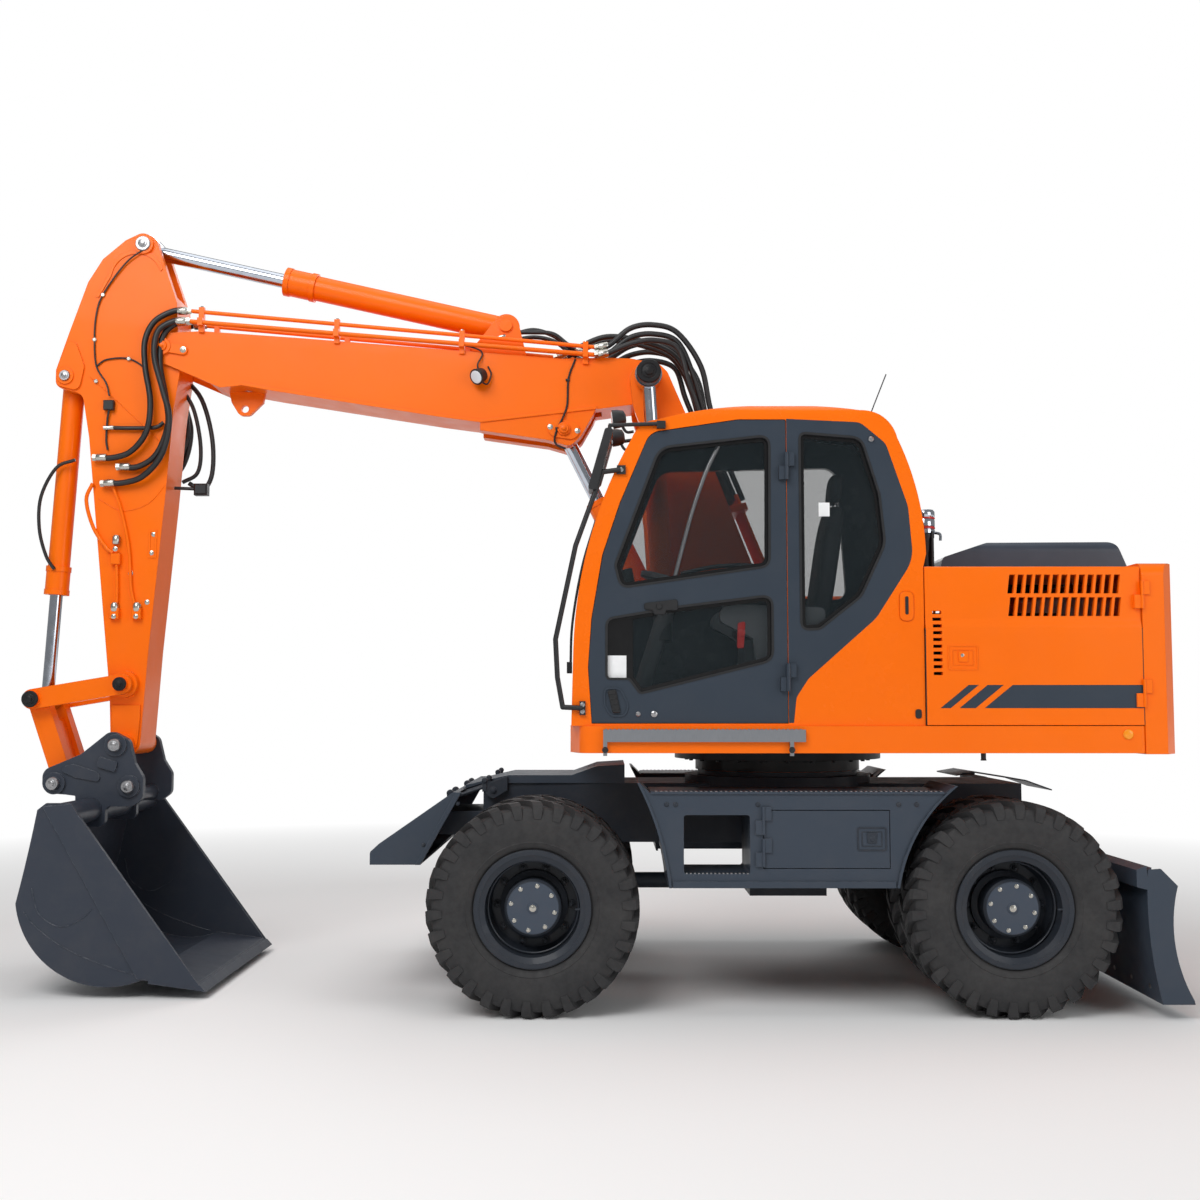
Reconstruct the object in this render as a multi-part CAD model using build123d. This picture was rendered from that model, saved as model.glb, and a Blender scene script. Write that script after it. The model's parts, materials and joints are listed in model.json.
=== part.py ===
from build123d import *
import math
import os

os.makedirs("parts", exist_ok=True)

# A wheeled excavator, drawn in millimetres from the ground under its slewing axis,
# with X forward, Y to the machine's left and Z up. The written pieces are moved along X,
# so that their origin is on the ground under the middle of the machine's length.

PIECES = {}

# Running clearances and common radii
SEAT = 0.3
RUN = 5.0
SHUT = 4.0
PIN_R = 38.0
ELBOW_PIN_R = 62.0
NOSE_PIN_R = 50.0
PIPE_R = 12.0

# Wheels
TYRE_R = 540.0
TYRE_W = 280.0
TWIN_PITCH = 330.0
RIM_SEAT_R = 258.0
RIM_FLANGE_R = 295.0
RIM_WALL = 18.0
BEAD_HALF = 100.0
FLANGE_T = 15.0
LUGS = 13
LUG_H = 34.0
LUG_TIP = 106.0
LUG_FOOT = 98.0
TREAD_GROOVE = 12.0
SHOULDER = (452.0, 136.0)
BULGE_R = 400.0
BEAD_EDGE = 84.0
HUB_CAP_R = 144.0
HUB_CAP_OUT = 225.0
DISC_AT = 30.0
DISC_T = 26.0
OVER_TYRES = 2500.0
TWIN_MIDDLE = OVER_TYRES / 2 - TYRE_W / 2 - TWIN_PITCH / 2
HUB_FACE = TWIN_MIDDLE + DISC_AT - SEAT
FRONT_AXLE_X = 1375.0
REAR_AXLE_X = -1040.0
AXLES = {"front": FRONT_AXLE_X, "rear": REAR_AXLE_X}
KINGPIN_Y = 760.0
KINGPIN_R = 48.0
FORK_GAP = 130.0
AXLE_R = 100.0
DIFF_R = 185.0

# Chassis
FRAME_HALF = 370.0
FRAME_BOTTOM = 790.0
FRAME_TOP = 1120.0
FRAME_FRONT = 1700.0
FRAME_REAR = -1330.0
RING_R = 465.0
RING_SPLIT = 1186.0
RING_TOP = 1255.0
RING_FLANGE_R = 590.0
BOX_IN = 760.0
BOX_OUT = 1200.0
BOX_TOP = 1118.0
BOX_BOTTOM = 644.0
BOX_WALL = 8.0
LOCKER_PROUD = 2.0
LIP_IN = 640.0
LIP_T = 14.0
GUARD_HALF = 850.0

# Blade
BLADE_HALF = 1250.0
BLADE_PIVOT = (-1330.0, 470.0)
BLADE_ARM_END = (-1640.0, 370.0)
BLADE_ARM_Y = 250.0
BLADE_LINK_RISE = 190.0
BLADE_TOP_PIVOT = (BLADE_PIVOT[0], BLADE_PIVOT[1] + BLADE_LINK_RISE)
BLADE_PIN_R = 24.0
BLADE_CYL_CLOSED = 262.0
BLADE_CYL_Y = 130.0
BLADE_CYL_TOP = (-1385.0, 880.0)
BLADE_CYL_EYE = (-1530.0, 470.0)

# Upper structure
DECK_BOTTOM = 1318.0
DECK_TOP = 1455.0
DECK_FRONT = 1190.0
DECK_HALF = 1220.0
HOUSE_FRONT = -614.0
HOUSE_REAR = -1718.0
HOUSE_TOP = 2266.0
CW_TAIL = -2075.0
PANEL_T = 40.0

# Cab
CAB_IN = 396.0
CAB_OUT = 1205.0
CAB_WALL = 45.0
CAB_TOP = 3108.0
CAB_ROUND = 70.0
RAIL_R = 13.0
SEAT_Z = 1900.0
WHEEL_R = 190.0
GLASS_T = 6.0
DOOR_REAR = 84.0
DOOR_HINGE_Y = CAB_OUT + 23.0
DOOR_HINGES = (2780.0, 1700.0)

# Outlines of the cab, its door and its windows in the side view
CAB_START = (-612, DECK_TOP)
CAB_STEPS = [(-612, 2262), (-628, 2330), ((-590, 2640), (-490, 2930)), ((-430, 3030), (-300, 3076)),
             ((250, 3106), (740, 3025)), ((830, 2990), (872, 2930)), ((1090, 2400), (1172, 1850)), (1182, DECK_TOP)]
DOOR_SHAPE = [(DOOR_REAR, 1470), (DOOR_REAR, 3022, 10), (330, 3022, 200), (780, 2955, 90), (934, 2588), (1021, 2325),
              (1077, 2003), (1095, 1755), (1077, 1470)]
UPPER_GLASS = [(165, 2262, 60), (160, 2950, 60), (735, 2885, 110), (965, 2275, 60), (935, 2150, 60)]
LOWER_GLASS = [(152, 1782, 70), (152, 2126, 60), (651, 2064), (1009, 2003, 50), (1009, 1687, 30),
               (890, 1687, 20), (835, 1612, 30)]
QUARTER_GLASS = [(18, 2963, 40), (18, 1935, 60), (-86, 1941, 60), (-300, 2110, 120), (-426, 2380, 150),
                 (-400, 2640, 200), (-310, 2935, 80)]
QUARTER_SHAPE = [(DOOR_REAR - SHUT, 1470), (DOOR_REAR - SHUT, 3028), (-300, 3010, 80), (-430, 2900, 80),
                 (-540, 2574, 200), (-562, 2300, 200), (-370, 2002, 200), (-22, 1694, 100), (40, 1600, 60),
                 (54, 1470)]

# Door hinges
HINGE_L = 70.0
HINGE_R = 11.0
HINGE_REACH = 40.0
PANEL_HINGE_R = 8.0
PANEL_HINGE_OUT = 11.0
HOOD_HINGES = (2120.0, 1620.0)
LOCKER_HINGES = (980.0, 820.0)

# Boom pivots and cylinder pins
FOOT = (150.0, 1850.0)
ELBOW = (760.0, 3460.0)
NOSE = (3624.0, 3674.0)
LIFT_BASE = (640.0, 1580.0)
ADJUST_BASE = (672.0, 2015.0)
ADJUST_EYE = (1252.0, 3178.0)
ARM_CYL_BASE = (1600.0, 3812.0)
ARM_CYL_EYE = (3758.0, 4298.0)
BUCKET_CYL_BASE = (4200.0, 3501.0)
LINK_PIN = (4312.0, 1595.0)
GUIDE_PIN = (3800.0, 1681.0)
TIP_PIN = (3799.0, 1333.0)
BUCKET_TUBE = (3940.0, 965.0)
BUCKET_TUBE_R = 68.0
COUPLER_LINK_PIN = (4144.0, 1116.0)
COUPLER_LOW_PIN = (3719.0, 1099.0)

# Boom and arm widths, each from the middle plane
BOOM_HALF = 165.0
CHEEK_T = 14.0
RIB_T = 6.0
LIFT_EYE = (3168.0, 3330.0)
LIFT_EYE_R = 22.0
LIFT_EYE_HALF = 16.0
PIPE_ENDS = (3470.0, 1060.0)
PIPE_CLAMPS = (3395.0, 2593.0, 1854.0, 1125.0)
LOWER_IN = 172.0
LOWER_OUT = 228.0
LIFT_Y = 312.0
ARM_HALF = 140.0
LINK_IN = 190.0
LINK_OUT = 232.0
HLINK_HALF = 110.0
COUPLER_IN = 250.0
COUPLER_OUT = 290.0
BUCKET_HALF = 750.0
BUCKET_WALL = 22.0
STRIP_T = 8.0

# Boom pipes: distance from the middle plane, then the height at the front and the rear end
PIPES = ((168.0, 3887.0, 3666.0), (168.0, 3822.0, 3618.0), (198.0, 3818.0, 3614.0))

# Cylinders: barrel radius, rod radius, eye radius, half width of the eye
LIFT_CYL = (64.0, 40.0, 78.0, 62.0)
ADJUST_CYL = (70.0, 42.0, 80.0, 60.0)
ARM_CYL = (74.0, 42.0, 80.0, 76.0)
BUCKET_CYL = (62.0, 36.0, 70.0, 64.0)
BLADE_CYL = (42.0, 25.0, 40.0, 44.0)

# Gland heads: length, then how far the head and its end rings stand out from the barrel
LIFT_GLAND = (190.0, 1.5, 3.0)
ADJUST_GLAND = (150.0, 4.0, 7.0)
ARM_GLAND = (190.0, 7.0, 12.0)
BUCKET_GLAND = (170.0, 6.0, 10.0)
BLADE_GLAND = (70.0, 3.0, 5.0)
PISTON_OUT = 12.0
PISTON_L = 60.0
RING_L = 32.0

# The rest length of each closed barrel, from its base pin to its gland
CLOSED = {"lift": 1290.0, "adjust": 850.0, "arm": 1370.0, "bucket": 1290.0}


def at(view, u, v, w):
    """A point of the side, plan or front view, at depth w."""
    return {"side": Vector(u, w, v), "plan": Vector(u, v, w), "front": Vector(w, u, v)}[view]


def face_of(view, points, w):
    """Closed outline in one view; a third value on a point rounds that corner."""
    count = len(points)
    cuts = []
    for i, point in enumerate(points):
        p = Vector(point[0], point[1])
        a = Vector(*points[i - 1][:2]) - p
        b = Vector(*points[(i + 1) % count][:2]) - p
        radius = point[2] if len(point) > 2 else 0
        if radius == 0:
            cuts.append((p, None, p))
            continue
        u, v = a.normalized(), b.normalized()
        half = math.radians(u.get_angle(v)) / 2
        run = radius / math.tan(half)
        middle = (u + v).normalized()
        cuts.append((p + u * run, p + middle * (radius / math.sin(half) - radius), p + v * run))
    edges = []
    for i, (start, mid, end) in enumerate(cuts):
        if mid is not None:
            edges.append(Edge.make_three_point_arc(*[at(view, q.X, q.Y, w) for q in (start, mid, end)]))
        follow = cuts[(i + 1) % count][0]
        if (follow - end).length > 0.01:
            edges.append(Edge.make_line(at(view, end.X, end.Y, w), at(view, follow.X, follow.Y, w)))
    return Face(Wire(edges))


def path_face(view, start, steps, w):
    """Closed outline; a step is a point for a line, or a via point and an end for an arc."""
    edges = []
    here = start
    for step in steps:
        if isinstance(step[0], tuple):
            edges.append(Edge.make_three_point_arc(*[at(view, q[0], q[1], w) for q in (here, *step)]))
            here = step[1]
        else:
            edges.append(Edge.make_line(at(view, *here, w), at(view, *step, w)))
            here = step
    if here != start:
        edges.append(Edge.make_line(at(view, *here, w), at(view, *start, w)))
    return Face(Wire(edges))


def run_of(view, depth):
    """Direction and length of an extrusion across a view."""
    return {"side": (0, depth, 0), "plan": (0, 0, depth), "front": (depth, 0, 0)}[view]


def slab(view, points, w0, w1):
    return Solid.extrude(face_of(view, points, w0), run_of(view, w1 - w0))


def side(points, y0, y1):
    return slab("side", points, y0, y1)


def plan(points, z0, z1):
    return slab("plan", points, z0, z1)


def front(points, x0, x1):
    return slab("front", points, x0, x1)


def block(x0, x1, y0, y1, z0, z1):
    return Solid.make_box(x1 - x0, y1 - y0, z1 - z0, Plane(origin=(x0, y0, z0)))


def rod(start, end, radius):
    start, end = Vector(*start), Vector(*end)
    return Solid.make_cylinder(radius, (end - start).length, Plane(origin=start, z_dir=end - start))


def pin(spot, y0, y1, radius):
    """A round bar across the machine at a spot of the side view."""
    return rod((spot[0], y0, spot[1]), (spot[0], y1, spot[1]), radius)


def spin(spot, profile):
    """Revolve a closed profile of (radius, y) points about the cross axis at a spot."""
    face = face_of("front", [(y, spot[1] + r, *rest) for r, y, *rest in profile], spot[0])
    return Solid.revolve(face, 360, Axis((spot[0], 0, spot[1]), (0, 1, 0)))


def flip(shape):
    return mirror(shape, Plane.XZ)


def both(shape):
    """The shape and its mirror image on the other side of the machine."""
    return [shape, flip(shape)]


def fuse(shapes):
    whole = shapes[0]
    for shape in shapes[1:]:
        whole = whole + shape
    return whole


def save(name, *shapes):
    """Keep a piece's solids under its name, until all are written together."""
    solids = []
    for shape in shapes:
        for item in shape if isinstance(shape, (list, tuple)) else [shape]:
            solids.extend(item.solids())
    PIECES[name] = solids


def write_all():
    """Write every piece, with the origin moved to the ground under the middle of the machine's length."""
    boxes = [solid.bounding_box() for solids in PIECES.values() for solid in solids]
    middle = (min(box.min.X for box in boxes) + max(box.max.X for box in boxes)) / 2
    for name, solids in PIECES.items():
        moved = [solid.moved(Location((-middle, 0, 0))) for solid in solids]
        export_step(Compound(moved) if len(moved) > 1 else moved[0], f"parts/{name}.step")
    print(f"The slewing axis stands at X = {-middle:.3f} mm")


def toward(a, b, distance):
    """The point at a distance from a on the way to b, in the side view."""
    length = math.dist(a, b)
    return (a[0] + (b[0] - a[0]) * distance / length, a[1] + (b[1] - a[1]) * distance / length)


def link_plate(spots, radius, y0, y1):
    """A plate with a round boss at each spot, joined by straight flanks."""
    bosses = [pin(spot, y0, y1, radius) for spot in spots]
    strips = []
    for a, b in zip(spots, spots[1:]):
        length = math.dist(a, b)
        nx, nz = -(b[1] - a[1]) / length * radius, (b[0] - a[0]) / length * radius
        strips.append(side([(a[0] + nx, a[1] + nz), (b[0] + nx, b[1] + nz),
                            (b[0] - nx, b[1] - nz), (a[0] - nx, a[1] - nz)], y0, y1))
    return fuse(bosses + strips)


def barrel(base, eye, closed, sizes, gland, y=0.0, pin_r=PIN_R):
    """Cylinder barrel with its base eye, ringed gland head and bore for the rod, seen along its own line."""
    bore_r, rod_r, eye_r, eye_half = sizes
    gland_l, gland_out, ring_out = gland

    def stretch(near, far, radius):
        a, b = toward(base, eye, near), toward(base, eye, far)
        return rod((a[0], y, a[1]), (b[0], y, b[1]), radius)

    tube = fuse([stretch(eye_r * 0.8, closed, bore_r), stretch(closed - gland_l, closed, bore_r + gland_out),
                 stretch(closed - gland_l, closed - gland_l + RING_L, bore_r + ring_out),
                 stretch(closed - RING_L, closed, bore_r + ring_out),
                 pin(base, y - eye_half, y + eye_half, eye_r)])
    hollow = stretch(eye_r + 25, closed, rod_r + PISTON_OUT)
    return tube - hollow - pin(base, y - eye_half - 1, y + eye_half + 1, pin_r + SEAT)


def ram(base, eye, closed, sizes, inside, y=0.0):
    """Chrome rod with its eye and a piston head inside the barrel."""
    _, rod_r, eye_r, eye_half = sizes
    tail = toward(base, eye, closed - inside)
    head = toward(base, eye, closed - inside + PISTON_L)
    neck = toward(eye, base, eye_r * 0.8)
    return fuse([
        rod((tail[0], y, tail[1]), (neck[0], y, neck[1]), rod_r),
        rod((tail[0], y, tail[1]), (head[0], y, head[1]), rod_r + PISTON_OUT - SEAT),
        pin(eye, y - eye_half, y + eye_half, eye_r),
    ])


def tyre(x, middle):
    """One tyre in flat facets: two rows of blocky lugs, half a pitch apart, on a plain carcass."""
    count = 2 * LUGS
    step = 2 * math.pi / count
    floor_r = TYRE_R - LUG_H
    bore = RIM_SEAT_R + SEAT
    rings = [(bore, BEAD_EDGE), (BULGE_R, TYRE_W / 2), SHOULDER]
    faces = []

    def spot(i, radius, y):
        angle = (i - 0.5) * step
        out = radius / math.cos(step / 2)
        return Vector(x + out * math.sin(angle), middle + y, TYRE_R - out * math.cos(angle))

    def facet(*corners):
        faces.append(Face(Wire.make_polygon(corners)))

    for i in range(count):
        lug_side = 1 if i % 2 == 0 else -1
        ends = (i, i + 1)
        facet(*[spot(k, bore, y) for k, y in zip((*ends, *ends[::-1]), (-BEAD_EDGE, -BEAD_EDGE, BEAD_EDGE, BEAD_EDGE))])
        for sign in (1, -1):
            lug = sign == lug_side
            edge = (TYRE_R, LUG_TIP) if lug else (floor_r, LUG_FOOT)
            for low, high in zip(rings, [*rings[1:], edge]):
                facet(spot(i, low[0], sign * low[1]), spot(i + 1, low[0], sign * low[1]),
                      spot(i + 1, high[0], sign * high[1]), spot(i, high[0], sign * high[1]))
            facet(spot(i, SHOULDER[0], sign * SHOULDER[1]), spot(i, floor_r, sign * LUG_FOOT),
                  spot(i, floor_r, sign * TREAD_GROOVE), spot(i, TYRE_R, sign * TREAD_GROOVE),
                  spot(i, TYRE_R, sign * LUG_TIP))
        groove = lug_side * TREAD_GROOVE
        facet(spot(i, TYRE_R, groove), spot(i + 1, TYRE_R, groove),
              spot(i + 1, TYRE_R, lug_side * LUG_TIP), spot(i, TYRE_R, lug_side * LUG_TIP))
        facet(spot(i, floor_r, groove), spot(i + 1, floor_r, groove),
              spot(i + 1, TYRE_R, groove), spot(i, TYRE_R, groove))
        facet(spot(i, floor_r, groove), spot(i + 1, floor_r, groove), spot(i + 1, floor_r, -groove),
              spot(i + 1, floor_r, -lug_side * LUG_FOOT), spot(i, floor_r, -lug_side * LUG_FOOT),
              spot(i, floor_r, -groove))
    return Solid(Shell(faces))


def wheel_pair(end, sign):
    """Two tyres and the rim that carries them."""
    x = AXLES[end]
    mid = TWIN_MIDDLE * sign
    tyres = [tyre(x, mid + TWIN_PITCH / 2 * k) for k in (-1, 1)]
    near, far = TWIN_PITCH / 2 - BEAD_HALF, TWIN_PITCH / 2 + BEAD_HALF
    inner_r = RIM_SEAT_R - RIM_WALL
    outline = [(0, HUB_CAP_OUT), (HUB_CAP_R - 10, HUB_CAP_OUT), (HUB_CAP_R, HUB_CAP_OUT - 10),
               (HUB_CAP_R, DISC_AT + 70), (HUB_CAP_R + 30, DISC_AT + 60), (HUB_CAP_R + 30, DISC_AT + DISC_T),
               (inner_r - 22, DISC_AT + DISC_T), (inner_r, DISC_AT + DISC_T + 40),
               (inner_r, far), (RIM_FLANGE_R - 24, far + FLANGE_T), (RIM_FLANGE_R, far + FLANGE_T),
               (RIM_FLANGE_R, far), (RIM_SEAT_R, far), (RIM_SEAT_R, near), (RIM_FLANGE_R, near),
               (RIM_FLANGE_R, near - FLANGE_T), (RIM_SEAT_R, near - FLANGE_T),
               (RIM_SEAT_R, FLANGE_T - near), (RIM_FLANGE_R, FLANGE_T - near), (RIM_FLANGE_R, -near),
               (RIM_SEAT_R, -near), (RIM_SEAT_R, -far), (RIM_FLANGE_R, -far), (RIM_FLANGE_R, -far - FLANGE_T),
               (RIM_FLANGE_R - 24, -far - FLANGE_T), (inner_r, -far), (inner_r, DISC_AT), (0, DISC_AT)]
    rim = spin((x, TYRE_R), [(r, mid + w * sign) for r, w in outline])
    return tyres, rim


def build_wheels():
    for end in AXLES:
        for name, sign in (("left", 1), ("right", -1)):
            tyres, rim = wheel_pair(end, sign)
            save(f"tyres_{end}_{name}", tyres)
            save(f"rim_{end}_{name}", rim)


def build_axles():
    """Steered front axle with its forks, rigid rear axle, and the shafts between them."""
    fx, rx, z = FRONT_AXLE_X, REAR_AXLE_X, TYRE_R
    fork_end = KINGPIN_Y + KINGPIN_R + 20
    plate = side([(fx - 70, z - FORK_GAP - 30), (fx + 70, z - FORK_GAP - 30), (fx + 70, z + FORK_GAP + 30),
                  (fx - 70, z + FORK_GAP + 30)], KINGPIN_Y - 110, fork_end)
    gap = block(fx - 71, fx + 71, KINGPIN_Y - KINGPIN_R - 22, fork_end + 1, z - FORK_GAP, z + FORK_GAP)
    fork = plate - gap
    front_beam = fuse([rod((fx, -KINGPIN_Y + 105, z), (fx, KINGPIN_Y - 105, z), AXLE_R),
                       rod((fx, -150, z), (fx, 150, z), DIFF_R),
                       block(fx - 130, fx + 130, -110, 110, z, FRAME_BOTTOM),
                       fork, flip(fork)])
    rear_beam = fuse([rod((rx, -HUB_FACE, z), (rx, HUB_FACE, z), AXLE_R),
                      rod((rx, -150, z), (rx, 150, z), DIFF_R)]
                     + both(block(rx - 110, rx + 110, 230, 330, z, FRAME_BOTTOM)))
    gearbox = block(-260, 180, -170, 170, 470, FRAME_BOTTOM)
    shafts = [rod((180, 0, z), (fx - DIFF_R + 25, 0, z), 45), rod((-260, 0, z), (rx + DIFF_R - 25, 0, z), 45)]
    save("axles", fuse([front_beam, gearbox, *shafts, rear_beam]))
    pivot = (fx, z)
    for name, sign in (("left", 1), ("right", -1)):
        y0 = KINGPIN_Y * sign
        king = rod((fx, y0, z - FORK_GAP + SEAT), (fx, y0, z + FORK_GAP - SEAT), KINGPIN_R)
        spindle = pin(pivot, y0, HUB_FACE * sign, 92)
        flange = pin(pivot, (HUB_FACE - 60) * sign, HUB_FACE * sign, 150)
        save(f"knuckle_{name}", fuse([king, spindle, flange]))


def build_chassis():
    """Box girder with the slewing ring's fixed half."""
    girder = plan([(FRAME_REAR, -FRAME_HALF), (FRAME_FRONT, -FRAME_HALF + 60), (FRAME_FRONT, FRAME_HALF - 60),
                   (FRAME_REAR, FRAME_HALF)], FRAME_BOTTOM, FRAME_TOP)
    pedestal = rod((0, 0, FRAME_TOP - 60), (0, 0, RING_SPLIT - 26), 540)
    ring = rod((0, 0, RING_SPLIT - 27), (0, 0, RING_SPLIT), RING_R)
    arms = []
    for x in (-420.0, 150.0):
        arms.append(block(x - 60, x + 60, -BOX_IN, BOX_IN, FRAME_BOTTOM + 60, FRAME_TOP - 60))
    tail = []
    for y in (BLADE_ARM_Y, -BLADE_ARM_Y):
        for k in (-1, 1):
            ear = side([(FRAME_REAR, FRAME_TOP - 20), (FRAME_REAR - 20, FRAME_TOP - 100), (FRAME_REAR - 45, 640),
                        (FRAME_REAR - 45, 420), (FRAME_REAR + 60, 420), (FRAME_REAR + 160, FRAME_BOTTOM)],
                       y + k * 40 - 12, y + k * 40 + 12)
            tail.append(ear)
        for spot in (BLADE_PIVOT, BLADE_TOP_PIVOT):
            tail.append(pin(spot, y - 60, y + 60, BLADE_PIN_R))
        cyl_y = math.copysign(BLADE_CYL_Y, y)
        for k in (-1, 1):
            mid = cyl_y + k * (BLADE_CYL[3] + 10)
            tail.append(side([(FRAME_REAR, FRAME_TOP - 100), (BLADE_CYL_TOP[0] - 45, 920, 30),
                              (BLADE_CYL_TOP[0] - 45, 830, 30), (FRAME_REAR, FRAME_BOTTOM)], mid - 7, mid + 7))
        tail.append(pin(BLADE_CYL_TOP, cyl_y - 62, cyl_y + 62, BLADE_PIN_R))
    fender = side([(-1214, 1121), (-1326, 1140), (-1653, 1088), (-1816, 1029), (-1816, 1021), (-1653, 1080),
                   (-1326, 1132), (-1214, 1113)], -1180, -LIP_IN)
    fender_arm = block(FRAME_REAR, FRAME_REAR + 80, -LIP_IN - 20, -FRAME_HALF + 10, FRAME_TOP - 35, FRAME_TOP + 2)
    fender_foot = block(FRAME_REAR, FRAME_REAR + 80, -LIP_IN - 60, -LIP_IN, FRAME_TOP - 35, 1134)
    save("chassis_frame", fuse([girder, pedestal, ring, *arms, *tail, fender, fender_arm, fender_foot]))


def box_profile(grow=0.0):
    """Side outline of the box between the wheels, with its curved ends."""
    return ("side", (675 + grow, BOX_BOTTOM - grow),
            [((715 + grow, 860), (835 + grow, 1168 + grow)), (784 + grow, BOX_TOP + grow),
             (-704 - grow, BOX_TOP + grow), (-755 - grow, 1153 + grow),
             ((-525 - grow, 870), (-455 - grow, BOX_BOTTOM - grow))])


def build_side_boxes():
    """Boxes between the wheels with a foot opening, a locker and curved mudguard ends."""
    view, start, steps = box_profile()
    whole = Solid.extrude(path_face(view, start, steps, BOX_IN), (0, BOX_OUT - BOX_IN, 0))
    step_hole = side([(280, 713, 14), (614, 713, 14), (614, 1007, 14), (280, 1007, 14)], BOX_IN - 1, BOX_OUT + 1)
    locker = block(-425, 215, BOX_IN + BOX_WALL, BOX_OUT + 1, BOX_BOTTOM + 95, BOX_TOP - 85)
    box = whole - step_hole - locker
    guards = []
    for mid, end, shift in (((715, 860), (835, 1168), 1), ((-525, 870), (-755, 1153), -1)):
        begin = (675, BOX_BOTTOM) if shift > 0 else (-455, BOX_BOTTOM)
        skin = path_face("side", begin, [(mid, end), (end[0] + shift * LIP_T, end[1]),
                                         ((mid[0] + shift * LIP_T, mid[1]), (begin[0] + shift * LIP_T, begin[1]))],
                         LIP_IN)
        guards.append(Solid.extrude(skin, (0, BOX_OUT + 12 - LIP_IN, 0)))
    face = BOX_OUT + LOCKER_PROUD
    hinges = [hinge_pair(215 - SHUT / 2, face + PANEL_HINGE_OUT, PANEL_HINGE_R, z, BOX_OUT, face)
              for z in LOCKER_HINGES]
    bar = block(-450, 670, BOX_OUT - 1, BOX_OUT + 10, BOX_BOTTOM, BOX_BOTTOM + 32)
    tread = block(-700, 780, BOX_IN + 10, BOX_OUT + 8, BOX_TOP - 6, BOX_TOP + 6)
    save("side_boxes", both(fuse([box, bar, tread, *guards, *[ahead for ahead, _ in hinges]])))
    door = block(-425 + SHUT, 215 - SHUT, BOX_OUT - 12, face, BOX_BOTTOM + 95 + SHUT, BOX_TOP - 85 - SHUT)
    door = fuse([door, *[rear for _, rear in hinges]])
    save("locker_door_left", door)
    save("locker_door_right", flip(door))


def build_front_guard():
    """Sloping guard ahead of the front wheels and the covers over the frame's nose."""
    outer = [(2253, 720), (2253, 786, 18), (2205, 830, 30), (1816, 1100), (1770, 1100), (1985, 720)]
    cheek = side(outer, GUARD_HALF - 16, GUARD_HALF)
    sheet = side([(2253, 720), (2253, 786, 18), (2205, 830, 30), (1816, 1100), (1800, 1090), (2195, 816, 18),
                  (2239, 776, 10), (2239, 734), (1985, 734), (1985, 720)], -GUARD_HALF + 15, GUARD_HALF - 15)
    beam = block(FRAME_FRONT, 2000, -300, 300, 830, 960)
    cover = side([(900, FRAME_TOP), (900, 1225), (1060, 1215), (1200, 1165), (1560, 1165), (1800, 1110),
                  (1800, 1090), (FRAME_FRONT, FRAME_TOP)], -330, 330)
    flange = side([(1771, 1100), (1800, 1100), (2012, 720), (1985, 720)], GUARD_HALF - 1, GUARD_HALF + 10)
    save("front_guard", fuse([*both(cheek), *both(flange), sheet, beam]))
    save("frame_covers", cover)


def build_blade():
    """Rear blade on two arms with parallel links, lifted by two small cylinders."""
    shell = path_face("side", (-1754, 83), [((-1700, 400), (-1697, 740)), (-1715, 752),
                                            ((-1722, 400), (-1790, 88))], -BLADE_HALF)
    skin = Solid.extrude(shell, (0, 2 * BLADE_HALF, 0))
    cheek_face = path_face("side", (-1697, 740), [(-1762, 745), (-1844, 661),
                                                  ((-1822, 380), (-1911, 98)), (-1880, 83), (-1754, 83),
                                                  ((-1700, 400), (-1697, 740))], BLADE_HALF - 14)
    cheek = Solid.extrude(cheek_face, (0, 14, 0))
    beam = side([(-1690, 760), (-1640, 740), (-1640, 655), (-1700, 640)], -BLADE_HALF, BLADE_HALF)
    edge = side([(-1790, 88), (-1754, 83), (-1754, 79), (-1915, 79), (-1911, 98)], -BLADE_HALF, BLADE_HALF)
    lugs = []
    upper_end = (BLADE_ARM_END[0], BLADE_ARM_END[1] + BLADE_LINK_RISE)
    for y in (BLADE_ARM_Y, -BLADE_ARM_Y):
        for k in (-1, 1):
            lugs.append(side([(-1712, 300), (-1650, 300), (-1595, 345, 30), (-1595, 590, 30), (-1650, 640),
                              (-1712, 640)], y + k * 40 - 10, y + k * 40 + 10))
        for spot in (BLADE_ARM_END, upper_end):
            lugs.append(pin(spot, y - 60, y + 60, BLADE_PIN_R))
    save("blade", fuse([skin, cheek, flip(cheek), beam, edge, *lugs]))
    lower, upper = [], []
    bores = fuse([pin(spot, -900, 900, BLADE_PIN_R + SEAT) for spot in (BLADE_PIVOT, BLADE_ARM_END)])
    top_bores = fuse([pin(spot, -900, 900, BLADE_PIN_R + SEAT) for spot in (BLADE_TOP_PIVOT, upper_end)])
    for y in (BLADE_ARM_Y, -BLADE_ARM_Y):
        lower.append(link_plate([BLADE_PIVOT, BLADE_ARM_END], 40, y - 26, y + 26))
        upper.append(link_plate([BLADE_TOP_PIVOT, upper_end], 36, y - 26, y + 26) - top_bores)
    brace = rod((-1530, -BLADE_ARM_Y, 380), (-1530, BLADE_ARM_Y, 380), 20)
    horns = []
    for sign in (-1, 1):
        for k in (-1, 1):
            mid = BLADE_CYL_Y * sign + k * (BLADE_CYL[3] + 10)
            horns.append(side([(-1565, 400), (-1495, 400), (-1495, 480, 30), (-1565, 480, 30)], mid - 6, mid + 6))
    save("blade_arms", fuse([*lower, brace, *horns]) - bores)
    save("blade_links", upper)


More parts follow.
